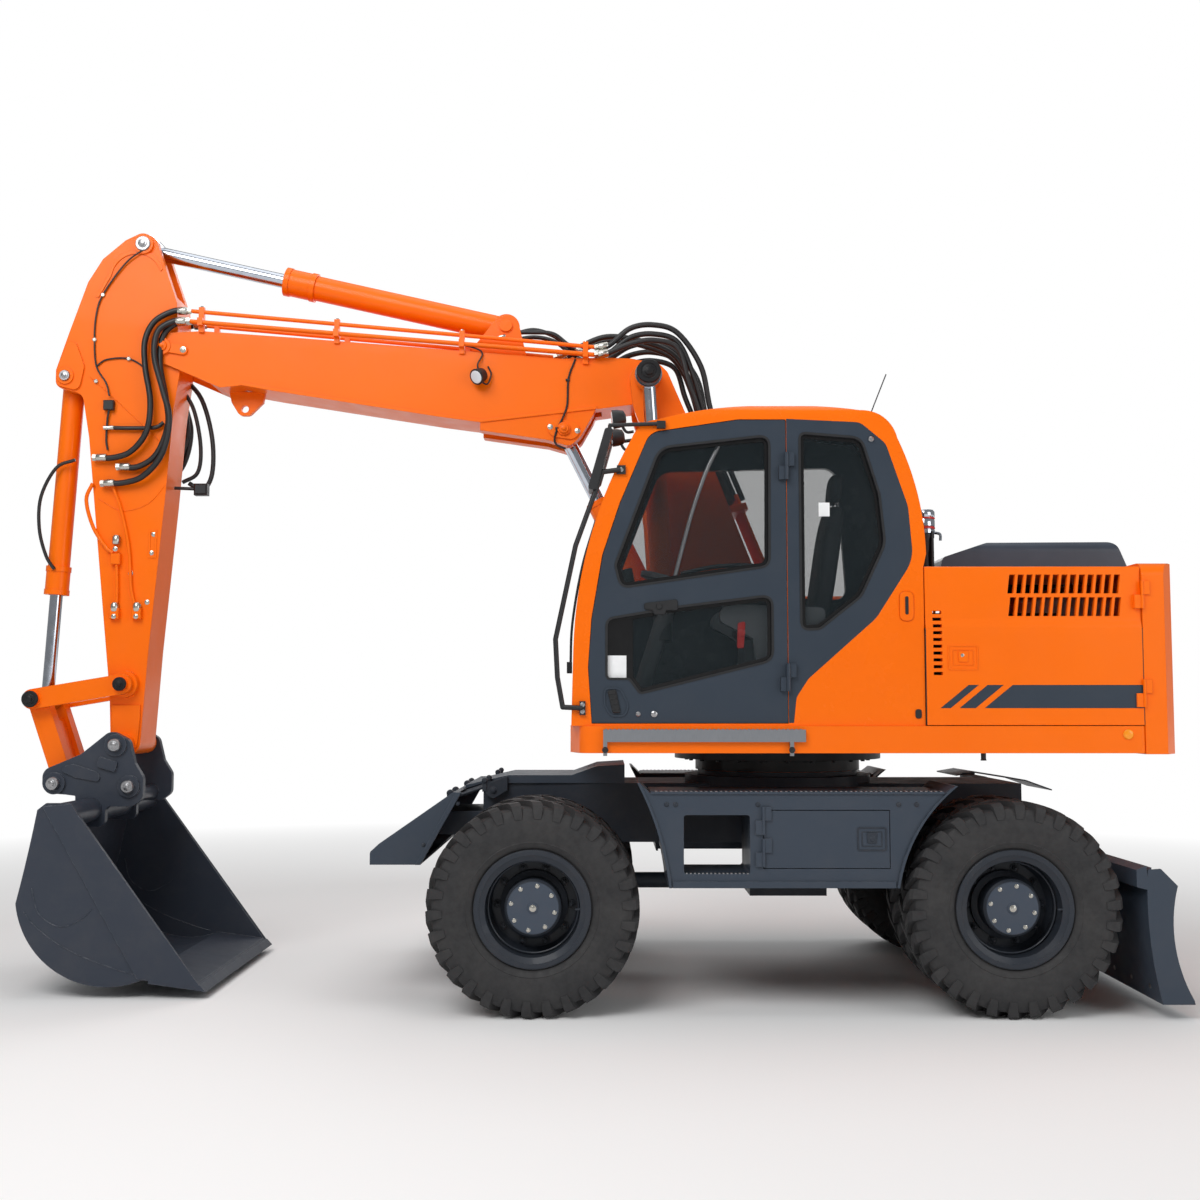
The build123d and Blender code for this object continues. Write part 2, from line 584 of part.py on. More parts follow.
def build_deck():
    """Turntable plate with the slewing ring's turning half and the boom's foot brackets."""
    base = plan([(HOUSE_REAR, -DECK_HALF, 20), (DECK_FRONT - 60, -DECK_HALF, 60), (DECK_FRONT, -DECK_HALF + 200, 40),
                 (DECK_FRONT, -270), (900, -270), (900, 270), (DECK_FRONT, 270),
                 (DECK_FRONT, DECK_HALF - 200, 40), (DECK_FRONT - 60, DECK_HALF, 60),
                 (HOUSE_REAR, DECK_HALF, 20)], DECK_BOTTOM, DECK_TOP)
    base = base - block(560, 901, -LOWER_OUT - 2 * RUN + 2, LOWER_OUT + 2 * RUN - 2, DECK_BOTTOM - 1, DECK_TOP + 1)
    ring = fuse([rod((0, 0, RING_SPLIT + SEAT), (0, 0, RING_TOP + 1), RING_R),
                 rod((0, 0, RING_TOP), (0, 0, DECK_BOTTOM + 1), RING_FLANGE_R)])
    bracket = side([(-500, DECK_TOP - 10), (520, DECK_TOP - 10), (470, 1600), (330, 1860), (230, 1960, 60),
                    (80, 1960, 60), (-40, 1860), (-480, 1560)], LOWER_OUT + RUN, LOWER_OUT + RUN + 34)
    bracket = bracket - pin(FOOT, 0, 400, PIN_R + 14)
    ears = []
    eye_half = LIFT_CYL[3]
    for k in (-1, 1):
        y = LIFT_Y + k * (eye_half + 4 + 6)
        ear = side([(520, DECK_TOP - 10), (820, DECK_TOP - 10), (720, 1640, 50), (560, 1640, 50)], y - 6, y + 6)
        ears.append(ear)
    foot_pin = pin(FOOT, -LOWER_OUT - RUN - 50, LOWER_OUT + RUN + 50, PIN_R + 14 + 0.5)
    lift_pin = pin(LIFT_BASE, LIFT_Y - eye_half - 16, LIFT_Y + eye_half + 16, PIN_R)
    lift_set = fuse([*ears, lift_pin])
    save("deck", fuse([base, ring, bracket, flip(bracket), lift_set, flip(lift_set), foot_pin]))


def lower_boom_side():
    return [(ELBOW[0] - 115, ELBOW[1] + 45, 60), (ELBOW[0] - 30, ELBOW[1] + 128, 100),
            (ELBOW[0] + 110, ELBOW[1] + 60, 90), (846, 3300), (690, 2869), (672, 2450), (790, 2130, 60),
            (790, 1960, 60), (600, 1935, 60), (430, 1985, 200), (270, 1780, 110), (100, 1722, 90),
            (15, 1850, 90), (60, 2120), (160, 2375), (372, 2917), (541, 3261)]


def build_lower_boom():
    """Short boom from the deck to the elbow, forked at the top, with the adjusting cylinder's seat."""
    body = side(lower_boom_side(), -LOWER_OUT, LOWER_OUT)
    slot_top = side([(300, 2960), (1000, 2760), (1000, 3700), (400, 3700)], -LOWER_IN, LOWER_IN)
    adjust_half = ADJUST_CYL[3] + 8
    slot_low = side([(600, 1900), (900, 1900), (900, 2760), (540, 2600), (560, 2100)], -adjust_half - 40,
                    adjust_half + 40)
    low_pin = pin(ADJUST_BASE, -LOWER_OUT, LOWER_OUT, PIN_R)
    foot = pin(FOOT, -LOWER_OUT - 1, LOWER_OUT + 1, PIN_R + 14 + 0.8)
    elbow = pin(ELBOW, LIFT_CYL[3] + 4 - LIFT_Y, LIFT_Y - LIFT_CYL[3] - 4, ELBOW_PIN_R)
    save("lower_boom", fuse([body - slot_top - slot_low - foot, low_pin, elbow]))


def upper_boom_side():
    return [(3700, 3674, 60), (3640, 3756, 70), (3391, 3766), (2801, 3723), (1262, 3599), (1014, 3605, 100),
            (860, 3600, 80), (650, 3560, 90), (640, 3400, 90), (800, 3331, 60), (1058, 3297), (1745, 3218),
            (1981, 3250), (2974, 3408), (3154, 3441), (3282, 3428), (3643, 3584, 60)]


def boom_pipes():
    """Three steel pipes along each side of the boom's top, held by four clamps."""
    pieces = []
    for y, front_z, rear_z in PIPES:
        pieces.append(rod((PIPE_ENDS[0], y, front_z), (PIPE_ENDS[1], y, rear_z), PIPE_R))
    run = PIPE_ENDS[0] - PIPE_ENDS[1]
    inner = PIPES[0][0] - PIPE_R - 2
    for x in PIPE_CLAMPS:
        share = (x - PIPE_ENDS[1]) / run
        top = PIPES[0][2] + (PIPES[0][1] - PIPES[0][2]) * share + PIPE_R + 14
        low = PIPES[1][2] + (PIPES[1][1] - PIPES[1][2]) * share
        pieces.append(block(x - 16, x + 16, inner, PIPES[0][0] + PIPE_R + 2, low - 60, top))
        pieces.append(block(x - 16, x + 16, inner, PIPES[-1][0] + PIPE_R + 4, low - 24, low + 20))
    return fuse(pieces)


def build_upper_boom():
    """Main boom: box body, forked nose for the arm, elbow boss, belly lug, cylinder ears and pipes."""
    body = side(upper_boom_side(), -BOOM_HALF, BOOM_HALF)
    fork = side([(3340, 3300), (3800, 3300), (3800, 3900), (3160, 3900), (3160, 3700), (3340, 3560)],
                -ARM_HALF - RUN, ARM_HALF + RUN)
    adjust_gap = ADJUST_CYL[3] + 8
    recess = side([(1030, 3200), (1030, 3385, 40), (1330, 3385, 40), (1440, 3200)], -adjust_gap, adjust_gap)
    body = body - fork - recess
    nose = fuse([pin(NOSE, ARM_HALF + RUN, BOOM_HALF + CHEEK_T + 6, NOSE_PIN_R),
                 link_plate([NOSE, (NOSE[0] - 120, NOSE[1] - 22)], 30, BOOM_HALF - 1,
                            BOOM_HALF + CHEEK_T)])
    flange = side([(1058, 3297), (1745, 3218), (1981, 3250), (2974, 3408), (3154, 3441), (3150, 3459), (2970, 3426),
                   (1978, 3268), (1747, 3236), (1060, 3315)], BOOM_HALF - 1, BOOM_HALF + 8)
    belly = side([(1745, 3222), (1745, 3172), (1352, 3115), (1216, 3075, 50), (1150, 3140, 60), (1081, 3262),
                  (1060, 3310)], adjust_gap, BOOM_HALF)
    keeper = link_plate([(ADJUST_EYE[0] - 38, ADJUST_EYE[1] - 6), (ADJUST_EYE[0] + 38, ADJUST_EYE[1] + 6)], 55,
                        BOOM_HALF - 1, BOOM_HALF + 10)
    lug_pin = pin(ADJUST_EYE, adjust_gap, BOOM_HALF + 24, PIN_R)
    ears = side([(1470, 3600), (1530, 3850, 60), (1660, 3850, 60), (1810, 3660)], ARM_CYL[3] + 4, ARM_CYL[3] + 34)
    cyl_pin = pin(ARM_CYL_BASE, -ARM_CYL[3] - 50, ARM_CYL[3] + 50, PIN_R)
    eye = side([(3265, 3440), (3250, 3370), (3200, 3290, 40), (3140, 3290, 40), (3060, 3370), (3050, 3430)],
               -LIFT_EYE_HALF, LIFT_EYE_HALF)
    eye = eye - pin(LIFT_EYE, -LIFT_EYE_HALF - 1, LIFT_EYE_HALF + 1, LIFT_EYE_R)
    tail_pin = pin(ELBOW, -LOWER_IN + RUN, LOWER_IN - RUN, 110)
    tail = fuse([body, tail_pin]) - pin(ELBOW, -LOWER_IN, LOWER_IN, ELBOW_PIN_R + SEAT)
    nose_pin = pin(NOSE, -ARM_HALF - RUN - 1, ARM_HALF + RUN + 1, NOSE_PIN_R)
    save("upper_boom", fuse([tail, *both(nose), *both(flange), *both(belly), *both(keeper), *both(ears),
                             *both(lug_pin), *both(boom_pipes()), cyl_pin, eye, nose_pin]))


def arm_side():
    return [(3768, 4372, 60), (3866, 4325, 80), (4000, 4210), (4085, 4070), (4190, 3762), (4262, 3540),
            (4262, 3440, 50), (4100, 3394, 60), (4055, 3135), (3938, 2022), (3896, 1630), (3880, 1275, 70),
            (3715, 1275, 70), (3676, 1874), (3599, 2763), (3560, 3300), (3529, 3516), (3554, 3946), (3690, 4340, 60)]


def build_arm():
    """Dipper arm with its rounded tail, cylinder pockets, stiffening plates and tip boss."""
    body = side(arm_side(), -ARM_HALF, ARM_HALF)
    tail_slot = side([(3500, 3990), (3760, 3990, 60), (3965, 4090, 40), (3985, 4420), (3500, 4420)],
                     -ARM_CYL[3] - 8, ARM_CYL[3] + 8)
    front_slot = side([(4075, 3380), (4060, 3560), (4150, 3640), (4300, 3640), (4300, 3380)], -BUCKET_CYL[3] - 4,
                      BUCKET_CYL[3] + 4)
    body = body - tail_slot - front_slot - pin(NOSE, -ARM_HALF - 1, ARM_HALF + 1, NOSE_PIN_R + SEAT)
    crown = path_face("side", (3640, 4150), [((3830, 4262), (3960, 4130)), (4040, 3980), (4020, 3975), (3945, 4110),
                                             ((3822, 4238), (3655, 4132))], ARM_HALF - 1)
    rib = Solid.extrude(crown, (0, RIB_T + 1, 0))
    lug = side([(4256, 3530, 20), (4256, 3446, 40), (4120, 3412, 40), (4090, 3560, 60), (4150, 3720, 40),
                (4196, 3700)], ARM_HALF - 1, ARM_HALF + CHEEK_T)
    toe = side([(3872, 1480), (3866, 1290, 60), (3728, 1290, 60), (3712, 1480), (3712, 1560), (3880, 1560)],
               ARM_HALF - 1, ARM_HALF + CHEEK_T)
    tail_boss = pin(ARM_CYL_EYE, ARM_CYL[3] + 8, ARM_HALF + 18, 60)
    seat_boss = pin(BUCKET_CYL_BASE, ARM_HALF - 1, ARM_HALF + CHEEK_T + 10, 50)
    base_pin = pin(BUCKET_CYL_BASE, -ARM_HALF - 10, ARM_HALF + 10, PIN_R)
    guide = pin(GUIDE_PIN, -LINK_OUT - 26, LINK_OUT + 26, PIN_R)
    guide_boss = pin(GUIDE_PIN, -LINK_IN + 3, LINK_IN - 3, 78)
    tip = pin(TIP_PIN, -COUPLER_IN + 3, COUPLER_IN - 3, 62)
    save("arm", fuse([body, *both(rib), *both(lug), *both(toe), *both(tail_boss), *both(seat_boss), base_pin,
                      guide_boss, guide, tip]))


def build_linkage():
    """Guide links, the forked push link and the quick coupler."""
    guide = link_plate([GUIDE_PIN, LINK_PIN], 58, LINK_IN, LINK_OUT)
    guide = guide - pin(GUIDE_PIN, LINK_IN - 1, LINK_OUT + 1, PIN_R + SEAT)
    pins = pin(LINK_PIN, BUCKET_CYL[3] + 6, LINK_OUT + 26, PIN_R + 8)
    save("guide_links", both(fuse([guide, pins])))
    cheek = link_plate([LINK_PIN, COUPLER_LINK_PIN], 56, HLINK_HALF - 34, HLINK_HALF + 50)
    web_top = toward(LINK_PIN, COUPLER_LINK_PIN, 150)
    web_low = toward(LINK_PIN, COUPLER_LINK_PIN, 400)
    web = link_plate([web_top, web_low], 30, -HLINK_HALF, HLINK_HALF)
    hub = pin(COUPLER_LINK_PIN, -COUPLER_IN + 0.5, COUPLER_IN - 0.5, 62)
    bores = pin(LINK_PIN, -400, 400, PIN_R + 8 + SEAT)
    save("push_link", fuse([cheek, flip(cheek), web, hub]) - bores)
    ear_shape = [(TIP_PIN[0] - 75, TIP_PIN[1] + 30, 50), (TIP_PIN[0] + 30, TIP_PIN[1] + 85, 60),
                 (4000, 1280), (4215, 1190, 60), (4215, 1062, 60), (4080, 1052), (4025, 1045, 6),
                 (4025, 870, 40), (3852, 870, 40), (3852, 985, 30), (3700, 985, 50),
                 (3640, 1030, 50), (3640, 1150, 50), (3690, 1230)]
    ear = side(ear_shape, COUPLER_IN, COUPLER_OUT)
    ear = ear - pin(BUCKET_TUBE, 0, 400, BUCKET_TUBE_R + SEAT)
    trim = []
    for spot, inner in ((COUPLER_LINK_PIN, COUPLER_IN), (COUPLER_LOW_PIN, COUPLER_IN),
                        (TIP_PIN, COUPLER_IN - 3 + SEAT)):
        trim.append(pin(spot, inner, COUPLER_OUT + 34, PIN_R))
        trim.append(pin(spot, COUPLER_OUT - 1, COUPLER_OUT + 16, 62))
    latch = side([(3800, 1180, 12), (3905, 1212, 12), (3888, 1268, 12), (3783, 1236, 12)], COUPLER_OUT - 1,
                 COUPLER_OUT + 16)
    rib = side([(3870, 1120, 20), (4030, 1150, 20), (4140, 1200, 20), (4040, 1225, 20), (3900, 1180, 20)],
               COUPLER_OUT - 1, COUPLER_OUT + 10)
    tube = pin((3760, 1040), -COUPLER_IN - 1, COUPLER_IN + 1, 42)
    save("coupler", fuse([ear, flip(ear), *both(fuse(trim)), *both(latch), *both(rib), tube]))


def build_bucket():
    """Wide ditching bucket with straight side plates, rolled back, wear strips and a plain cutting edge."""
    outer = path_face("side", (3164, 60), [(3476, 101), ((4045, 240), (4160, 502)), ((4115, 700), (4057, 999)),
                                           (4011, 1035), (3878, 1035), (3857, 999)], -BUCKET_HALF)
    whole = Solid.extrude(outer, (0, 2 * BUCKET_HALF, 0))
    inner = path_face("side", (3169, 84), [(3470, 125), ((4020, 260), (4136, 502)), ((4091, 700), (4033, 990)),
                                           (4030, 1060), (3700, 1060), (2900, 60)], -BUCKET_HALF + BUCKET_WALL)
    cavity = Solid.extrude(inner, (0, 2 * (BUCKET_HALF - BUCKET_WALL), 0))
    strip = side([(3872, 1030, 8), (3846, 985), (3160, 64), (3500, 108), (4028, 1018, 8)], BUCKET_HALF - 1,
                 BUCKET_HALF + STRIP_T)
    edge = side([(3130, 41), (3440, 84), (3436, 112), (3164, 76)], -BUCKET_HALF - STRIP_T, BUCKET_HALF + STRIP_T)
    tube = pin(BUCKET_TUBE, -BUCKET_HALF + 1, BUCKET_HALF - 1, BUCKET_TUBE_R)
    save("bucket", fuse([whole - cavity, *both(strip), edge, tube]))


def build_cylinders():
    lift_b = barrel(LIFT_BASE, ELBOW, CLOSED["lift"], LIFT_CYL, LIFT_GLAND, LIFT_Y)
    lift_r = ram(LIFT_BASE, ELBOW, CLOSED["lift"], LIFT_CYL, 560, LIFT_Y)
    lift_cap = pin(ELBOW, LIFT_Y + LIFT_CYL[3], LIFT_Y + LIFT_CYL[3] + 70, 66)
    save("lift_barrels", both(lift_b))
    save("lift_rods", both(fuse([lift_r, lift_cap])))
    save("adjust_barrel", barrel(ADJUST_BASE, ADJUST_EYE, CLOSED["adjust"], ADJUST_CYL, ADJUST_GLAND))
    save("adjust_rod", ram(ADJUST_BASE, ADJUST_EYE, CLOSED["adjust"], ADJUST_CYL, 400))
    save("arm_barrel", barrel(ARM_CYL_BASE, ARM_CYL_EYE, CLOSED["arm"], ARM_CYL, ARM_GLAND))
    save("arm_rod", ram(ARM_CYL_BASE, ARM_CYL_EYE, CLOSED["arm"], ARM_CYL, 350))
    save("bucket_barrel", barrel(BUCKET_CYL_BASE, LINK_PIN, CLOSED["bucket"], BUCKET_CYL, BUCKET_GLAND))
    save("bucket_rod", ram(BUCKET_CYL_BASE, LINK_PIN, CLOSED["bucket"], BUCKET_CYL, 500))


def scaled_outline(points, grow):
    """Push an outline's corners away from their middle, to leave a margin round it."""
    cx = sum(p[0] for p in points) / len(points)
    cz = sum(p[1] for p in points) / len(points)
    out = []
    for p in points:
        length = math.dist(p[:2], (cx, cz))
        k = 1 + grow / length
        out.append((cx + (p[0] - cx) * k, cz + (p[1] - cz) * k, *p[2:]))
    return out


def build_cab():
    """Hollow cab: shell with its window openings, quarter panel, door, glass, seat and controls."""
    outer = path_face("side", CAB_START, CAB_STEPS, CAB_IN)
    whole = Solid.extrude(outer, (0, CAB_OUT - CAB_IN, 0))
    whole = whole & front([(CAB_IN, DECK_TOP), (CAB_IN, CAB_TOP, CAB_ROUND), (CAB_OUT, CAB_TOP, CAB_ROUND),
                           (CAB_OUT, DECK_TOP)], -700, 1300)
    inner_wire = outer.outer_wire().offset_2d(-CAB_WALL)
    inner = Face(inner_wire)
    cavity = Solid.extrude(inner, (0, CAB_OUT - CAB_IN - 2 * CAB_WALL, 0)).moved(Location((0, CAB_WALL, 0)))
    left_in = CAB_OUT - CAB_WALL - 1
    door_hole = side(scaled_outline(DOOR_SHAPE, SHUT), left_in, CAB_OUT + 1)
    quarter_hole = side(QUARTER_SHAPE, left_in, CAB_OUT + 1)
    quarter_inset = Face(face_of("side", QUARTER_SHAPE, CAB_OUT - CAB_WALL).outer_wire().offset_2d(-SEAT))
    screen = side([(700, 1700), (1400, 1560), (1400, 2700), (700, 2940)], CAB_IN + 55, CAB_OUT - 55)
    front_low = block(900, 1300, CAB_IN + 55, CAB_OUT - 55, 1560, 1720)
    rear = side([(-300, 2330, 20), (-900, 2330, 20), (-900, 2900, 20), (-300, 2900, 20)], CAB_IN + 90, CAB_OUT - 90)
    right = side([(-350, 2150, 60), (-300, 2900, 80), (700, 2880, 100), (960, 2200, 60)], CAB_IN - 1,
                 CAB_IN + CAB_WALL + 1)
    save("cab_shell", whole - cavity - door_hole - quarter_hole - screen - front_low - rear - right)
    quarter = Solid.extrude(quarter_inset, (0, CAB_WALL, 0))
    quarter = quarter - side(QUARTER_GLASS, left_in, CAB_OUT + 1)
    hinges = [hinge_pair(DOOR_REAR - SHUT / 2, DOOR_HINGE_Y, HINGE_R, z, CAB_OUT, CAB_OUT) for z in DOOR_HINGES]
    save("cab_quarter", fuse([quarter, *[rear for _, rear in hinges]]))
    door = side(DOOR_SHAPE, CAB_OUT - CAB_WALL, CAB_OUT)
    door = door - side(UPPER_GLASS, left_in, CAB_OUT + 1) - side(LOWER_GLASS, left_in, CAB_OUT + 1)
    save("cab_door", fuse([door, *[ahead for ahead, _ in hinges]]))
    save("door_glass", side(scaled_outline(UPPER_GLASS, -SEAT), CAB_OUT - 30, CAB_OUT - 30 + GLASS_T),
         side(scaled_outline(LOWER_GLASS, -SEAT), CAB_OUT - 30, CAB_OUT - 30 + GLASS_T))
    band = whole - Solid.extrude(Face(outer.outer_wire().offset_2d(-GLASS_T)), (0, CAB_OUT - CAB_IN, 0))
    screen_glass = band & side([(700, 1700 + SEAT), (1400, 1560 + SEAT), (1400, 2700 - SEAT), (700, 2940 - SEAT)],
                               CAB_IN + 55 + SEAT, CAB_OUT - 55 - SEAT)
    rear_glass = band & side([(-300, 2330 + SEAT, 20), (-900, 2330 + SEAT, 20), (-900, 2900 - SEAT, 20),
                              (-300, 2900 - SEAT, 20)], CAB_IN + 90 + SEAT, CAB_OUT - 90 - SEAT)
    right_glass = side(scaled_outline([(-350, 2150, 60), (-300, 2900, 80), (700, 2880, 100), (960, 2200, 60)], -SEAT),
                       CAB_IN + 20, CAB_IN + 20 + GLASS_T)
    quarter_glass = side(scaled_outline(QUARTER_GLASS, -SEAT), CAB_OUT - 30, CAB_OUT - 30 + GLASS_T)
    save("cab_glass", screen_glass, rear_glass, right_glass, quarter_glass)
    build_cab_inside()
    build_cab_fittings(whole)


def build_cab_inside():
    """Seat with its base and consoles, levers, steering column and wheel."""
    middle = (CAB_IN + CAB_OUT) / 2
    room = (CAB_OUT - CAB_IN) / 2 - CAB_WALL
    floor = DECK_TOP + CAB_WALL
    half = room * 0.64
    seat = fuse([side([(-150, SEAT_Z, 30), (-150, SEAT_Z + 110, 30), (330, SEAT_Z + 120, 50), (330, SEAT_Z, 30)],
                      middle - half, middle + half),
                 side([(-170, SEAT_Z + 60), (-70, SEAT_Z + 60), (-160, 2640, 40), (-270, 2640, 40)],
                      middle - half + 20, middle + half - 20),
                 side([(-255, 2620), (-180, 2620), (-200, 2800, 30), (-275, 2800, 30)], middle - half / 2,
                      middle + half / 2)])
    save("seat_cushions", seat)
    base = block(-100, 280, middle - room * 0.55, middle + room * 0.55, floor + SEAT, SEAT_Z - SEAT)
    console = fuse([side([(-120, floor + SEAT), (-120, 2060, 30), (420, 2080, 60), (420, 1990, 30), (250, 1900),
                          (200, floor + SEAT)], room * 0.7, room * 0.95),
                    rod((350, room * 0.82, 2070), (330, room * 0.82, 2190), 11),
                    rod((330, room * 0.82, 2185), (322, room * 0.82, 2260), 22)])
    column = fuse([rod((850, middle, floor + 40), (640, middle, 2200), 45),
                   block(780, 920, middle - 70, middle + 70, floor + SEAT, floor + 70)])
    hub = Plane(origin=(640, middle, 2200), z_dir=(-220, 0, 700))
    ring = Solid.make_cylinder(WHEEL_R, 26, hub) - Solid.make_cylinder(WHEEL_R - 26, 28, hub.offset(-1))
    spokes = [rod((640, middle - WHEEL_R + 8, 2212), (640, middle + WHEEL_R - 8, 2212), 11),
              rod((640, middle, 2212), (640 + (WHEEL_R - 8) * 0.954, middle, 2212 + (WHEEL_R - 8) * 0.3), 11)]
    save("controls", base, *both_sides(console, middle), fuse([column, ring, *spokes]))


def build_cab_fittings(cab):
    """Step plate under the door, handrail, and two mirrors on their tubes."""
    y = DECK_HALF + SEAT
    step = fuse([block(0, 1020, y, y + 24, 1375, 1432), block(1000, 1020, y, y + 24, 1305, 1400),
                 block(60, 80, y, y + 24, 1305, 1400), block(0, 1020, y + 4, y + 24, 1425, 1437)])
    save("cab_step", step)
    face = CAB_OUT + SEAT
    rail_y = CAB_OUT + 17
    rail = [(1124, 1545), (1225, 1550), (1252, 1700), (1262, 1893), (1161, 2370), (1024, 2750), (930, 2762)]
    pieces = [block(1110, 1140, face, rail_y, 1510, 1580), block(905, 950, face, rail_y, 2740, 2785)]
    for a, b in zip(rail, rail[1:]):
        pieces.append(rod((a[0], rail_y, a[1]), (b[0], rail_y, b[1]), RAIL_R))
    for spot in rail[1:-1]:
        pieces.append(Solid.make_sphere(RAIL_R, Plane((spot[0], rail_y, spot[1]))))
    left = [side([(965, 2975, 15), (1010, 2975, 15), (1100, 2660, 15), (1055, 2655, 15)], CAB_OUT - 145, CAB_OUT + 40),
            block(700, 745, face, CAB_OUT + 27, 2976, 3014),
            rod((722, rail_y, 3000), (992, rail_y, 2992), 10), rod((985, rail_y, 2994), (990, rail_y, 2950), 10)]
    right_y = CAB_IN + 20
    right = [side([(960, 3060, 15), (1005, 3060, 15), (1080, 2800, 15), (1035, 2795, 15)], right_y, right_y + 150),
             rod((690, right_y + 40, 3010), (690, right_y + 40, 3090), 10),
             rod((688, right_y + 40, 3080), (990, right_y + 40, 3040), 10)]
    save("cab_fittings", fuse(pieces), fuse(left), fuse(right) - cab.moved(Location((0, 0, SEAT))))


def hinge_pair(x, y, radius, z, front_face, rear_face):
    """The two halves of a hinge on an upright line, for the panels ahead of it and behind it."""
    halves = []
    for sign, z0, face in ((1, z - HINGE_L, front_face), (-1, z + SEAT, rear_face)):
        knuckle = rod((x, y, z0), (x, y, z0 + HINGE_L), radius)
        tip = x + sign * HINGE_REACH
        halves.append(fuse([knuckle, block(min(x, tip), max(x, tip), face, y, z0, z0 + HINGE_L)]))
    return halves


def both_sides(shape, middle):
    """A shape drawn from the cab's middle, and its mirror image about that middle."""
    placed = shape.moved(Location((0, middle, 0)))
    return [placed, mirror(shape, Plane.XZ).moved(Location((0, middle, 0)))]


def build_house():
    """Engine house: fixed roof and bulkhead, side doors, cover, engine block, tanks, counterweight."""
    half = DECK_HALF - 5
    front_x, rear_x, top = HOUSE_FRONT - SHUT, HOUSE_REAR + SHUT, HOUSE_TOP
    roof = block(rear_x, front_x, -half + PANEL_T + SHUT, half - PANEL_T - SHUT, top - 40, top)
    bulkhead = block(front_x - 30, front_x, -half + PANEL_T + SHUT, half - PANEL_T - SHUT, DECK_TOP, top - 39)
    hatch = block(-1800 + 60, -900, -560, 560, top - 60, top + 1)
    save("hood_frame", fuse([roof, bulkhead]) - hatch)
    outline = [(front_x, DECK_TOP + SHUT), (front_x, top, 6), (rear_x, top, 6), (rear_x, DECK_TOP + SHUT)]
    bent = front([(half - PANEL_T, DECK_TOP), (half - PANEL_T, top + 1), (half - 14, top + 1, 14), (half - 11, 1995, 60),
                  (half, 1958, 60), (half, DECK_TOP)], rear_x, front_x)
    panel = side(outline, half - PANEL_T, half) & bent
    slots = []
    for row_z, shift in ((2176, 0), (2060, 2)):
        for i in range(13):
            x = -1060 - shift - i * 44.5
            slots.append(side([(x - 9, row_z - 48), (x + 21, row_z - 48), (x + 9, row_z + 48), (x - 21, row_z + 48)],
                              half - PANEL_T - 1, half + 1))
    for i in range(10):
        slots.append(block(-700, -655, half - PANEL_T - 1, half + 1, 1712 + i * 34.5, 1728 + i * 34.5))
    for slot in slots:
        panel = panel - slot
    hinges = [hinge_pair(HOUSE_REAR + SHUT / 2, half + PANEL_HINGE_OUT, PANEL_HINGE_R, z, half - 14, half - 14)
              for z in HOOD_HINGES]
    panel = fuse([panel, *[ahead for ahead, _ in hinges]])
    save("hood_door_left", panel)
    save("hood_door_right", flip(panel))
    cover_side = [(-829, top + SEAT), (-845, 2370, 30), (-1097, 2455, 60), (-1800, 2460, 60), (-1866, 2300),
                  (-1866, 2292), (-1716, 2292), (-1716, top + SEAT)]
    inside = [(-850, top - 5), (-866, 2360, 20), (-1100, 2436, 50), (-1795, 2440, 40), (-1846, 2312), (-1846, 2290),
              (-1700, 2290), (-1700, top - 5)]
    crown = front([(-640, top), (-640, 2462, 60), (640, 2462, 60), (640, top)], -1900, -800)
    save("hood_cover", (side(cover_side, -640, 640) & crown) - side(inside, -618, 618))
    save("engine", block(-1560, -760, -520, 380, DECK_TOP, 2080))
    tank = side([(HOUSE_FRONT, DECK_TOP), (HOUSE_FRONT, 2240, 40), (300, 2240, 60), (420, 1900, 60),
                 (1080, 1860, 60), (1140, 1600, 40), (1140, DECK_TOP)], -CAB_OUT, -CAB_IN - 30)
    crown = front([(-CAB_OUT, DECK_TOP), (-CAB_OUT, 2240, 70), (-CAB_IN - 30, 2240, 30), (-CAB_IN - 30, DECK_TOP)],
                  HOUSE_FRONT, 1140)
    tank = tank & crown
    for z in (1560, 1740):
        tank = tank - block(940, 1141, -CAB_OUT - 1, -CAB_OUT + 150, z, z + 110)
    save("tanks", tank)
    cw_plan = path_face("plan", (HOUSE_REAR - SEAT, -DECK_HALF + 5), [(-1830, -DECK_HALF + 5), (-1905, -DECK_HALF + 110),
                                                                ((CW_TAIL, 0), (-1905, DECK_HALF - 110)),
                                                                (-1830, DECK_HALF - 5), (HOUSE_REAR - SEAT, DECK_HALF - 5)],
                        DECK_BOTTOM - 5)
    cw = Solid.extrude(cw_plan, (0, 0, 2286 - DECK_BOTTOM + 5))
    wide = DECK_HALF - 5
    cw = cw & side([(HOUSE_REAR + 1, 1313), (-2010, 1313, 40), (-2076, 1560, 200), (-2076, 2030, 200), (-2030, 2286, 60),
                    (HOUSE_REAR + 1, 2286)], -wide, wide)
    cw = cw & front([(-wide, 1313), (-wide, 2286, 70), (wide, 2286, 70), (wide, 1313)], -2076, HOUSE_REAR + 1)
    tail_hinges = fuse([rear for _, rear in hinges])
    save("counterweight", fuse([cw, tail_hinges, flip(tail_hinges)]))
    cleaner_x, cleaner_y = -770, 550
    cleaner = fuse([rod((cleaner_x, cleaner_y, top + SEAT), (cleaner_x, cleaner_y, 2510), 30),
                    rod((cleaner_x, cleaner_y, 2505), (cleaner_x, cleaner_y, 2646), 56)])
    save("air_cleaner", cleaner)


def build_blade_cylinders():
    closed = BLADE_CYL_CLOSED
    save("blade_barrels", both(barrel(BLADE_CYL_TOP, BLADE_CYL_EYE, closed, BLADE_CYL, BLADE_GLAND, BLADE_CYL_Y,
                                      BLADE_PIN_R)))
    save("blade_rods", both(ram(BLADE_CYL_TOP, BLADE_CYL_EYE, closed, BLADE_CYL, 70, BLADE_CYL_Y)))


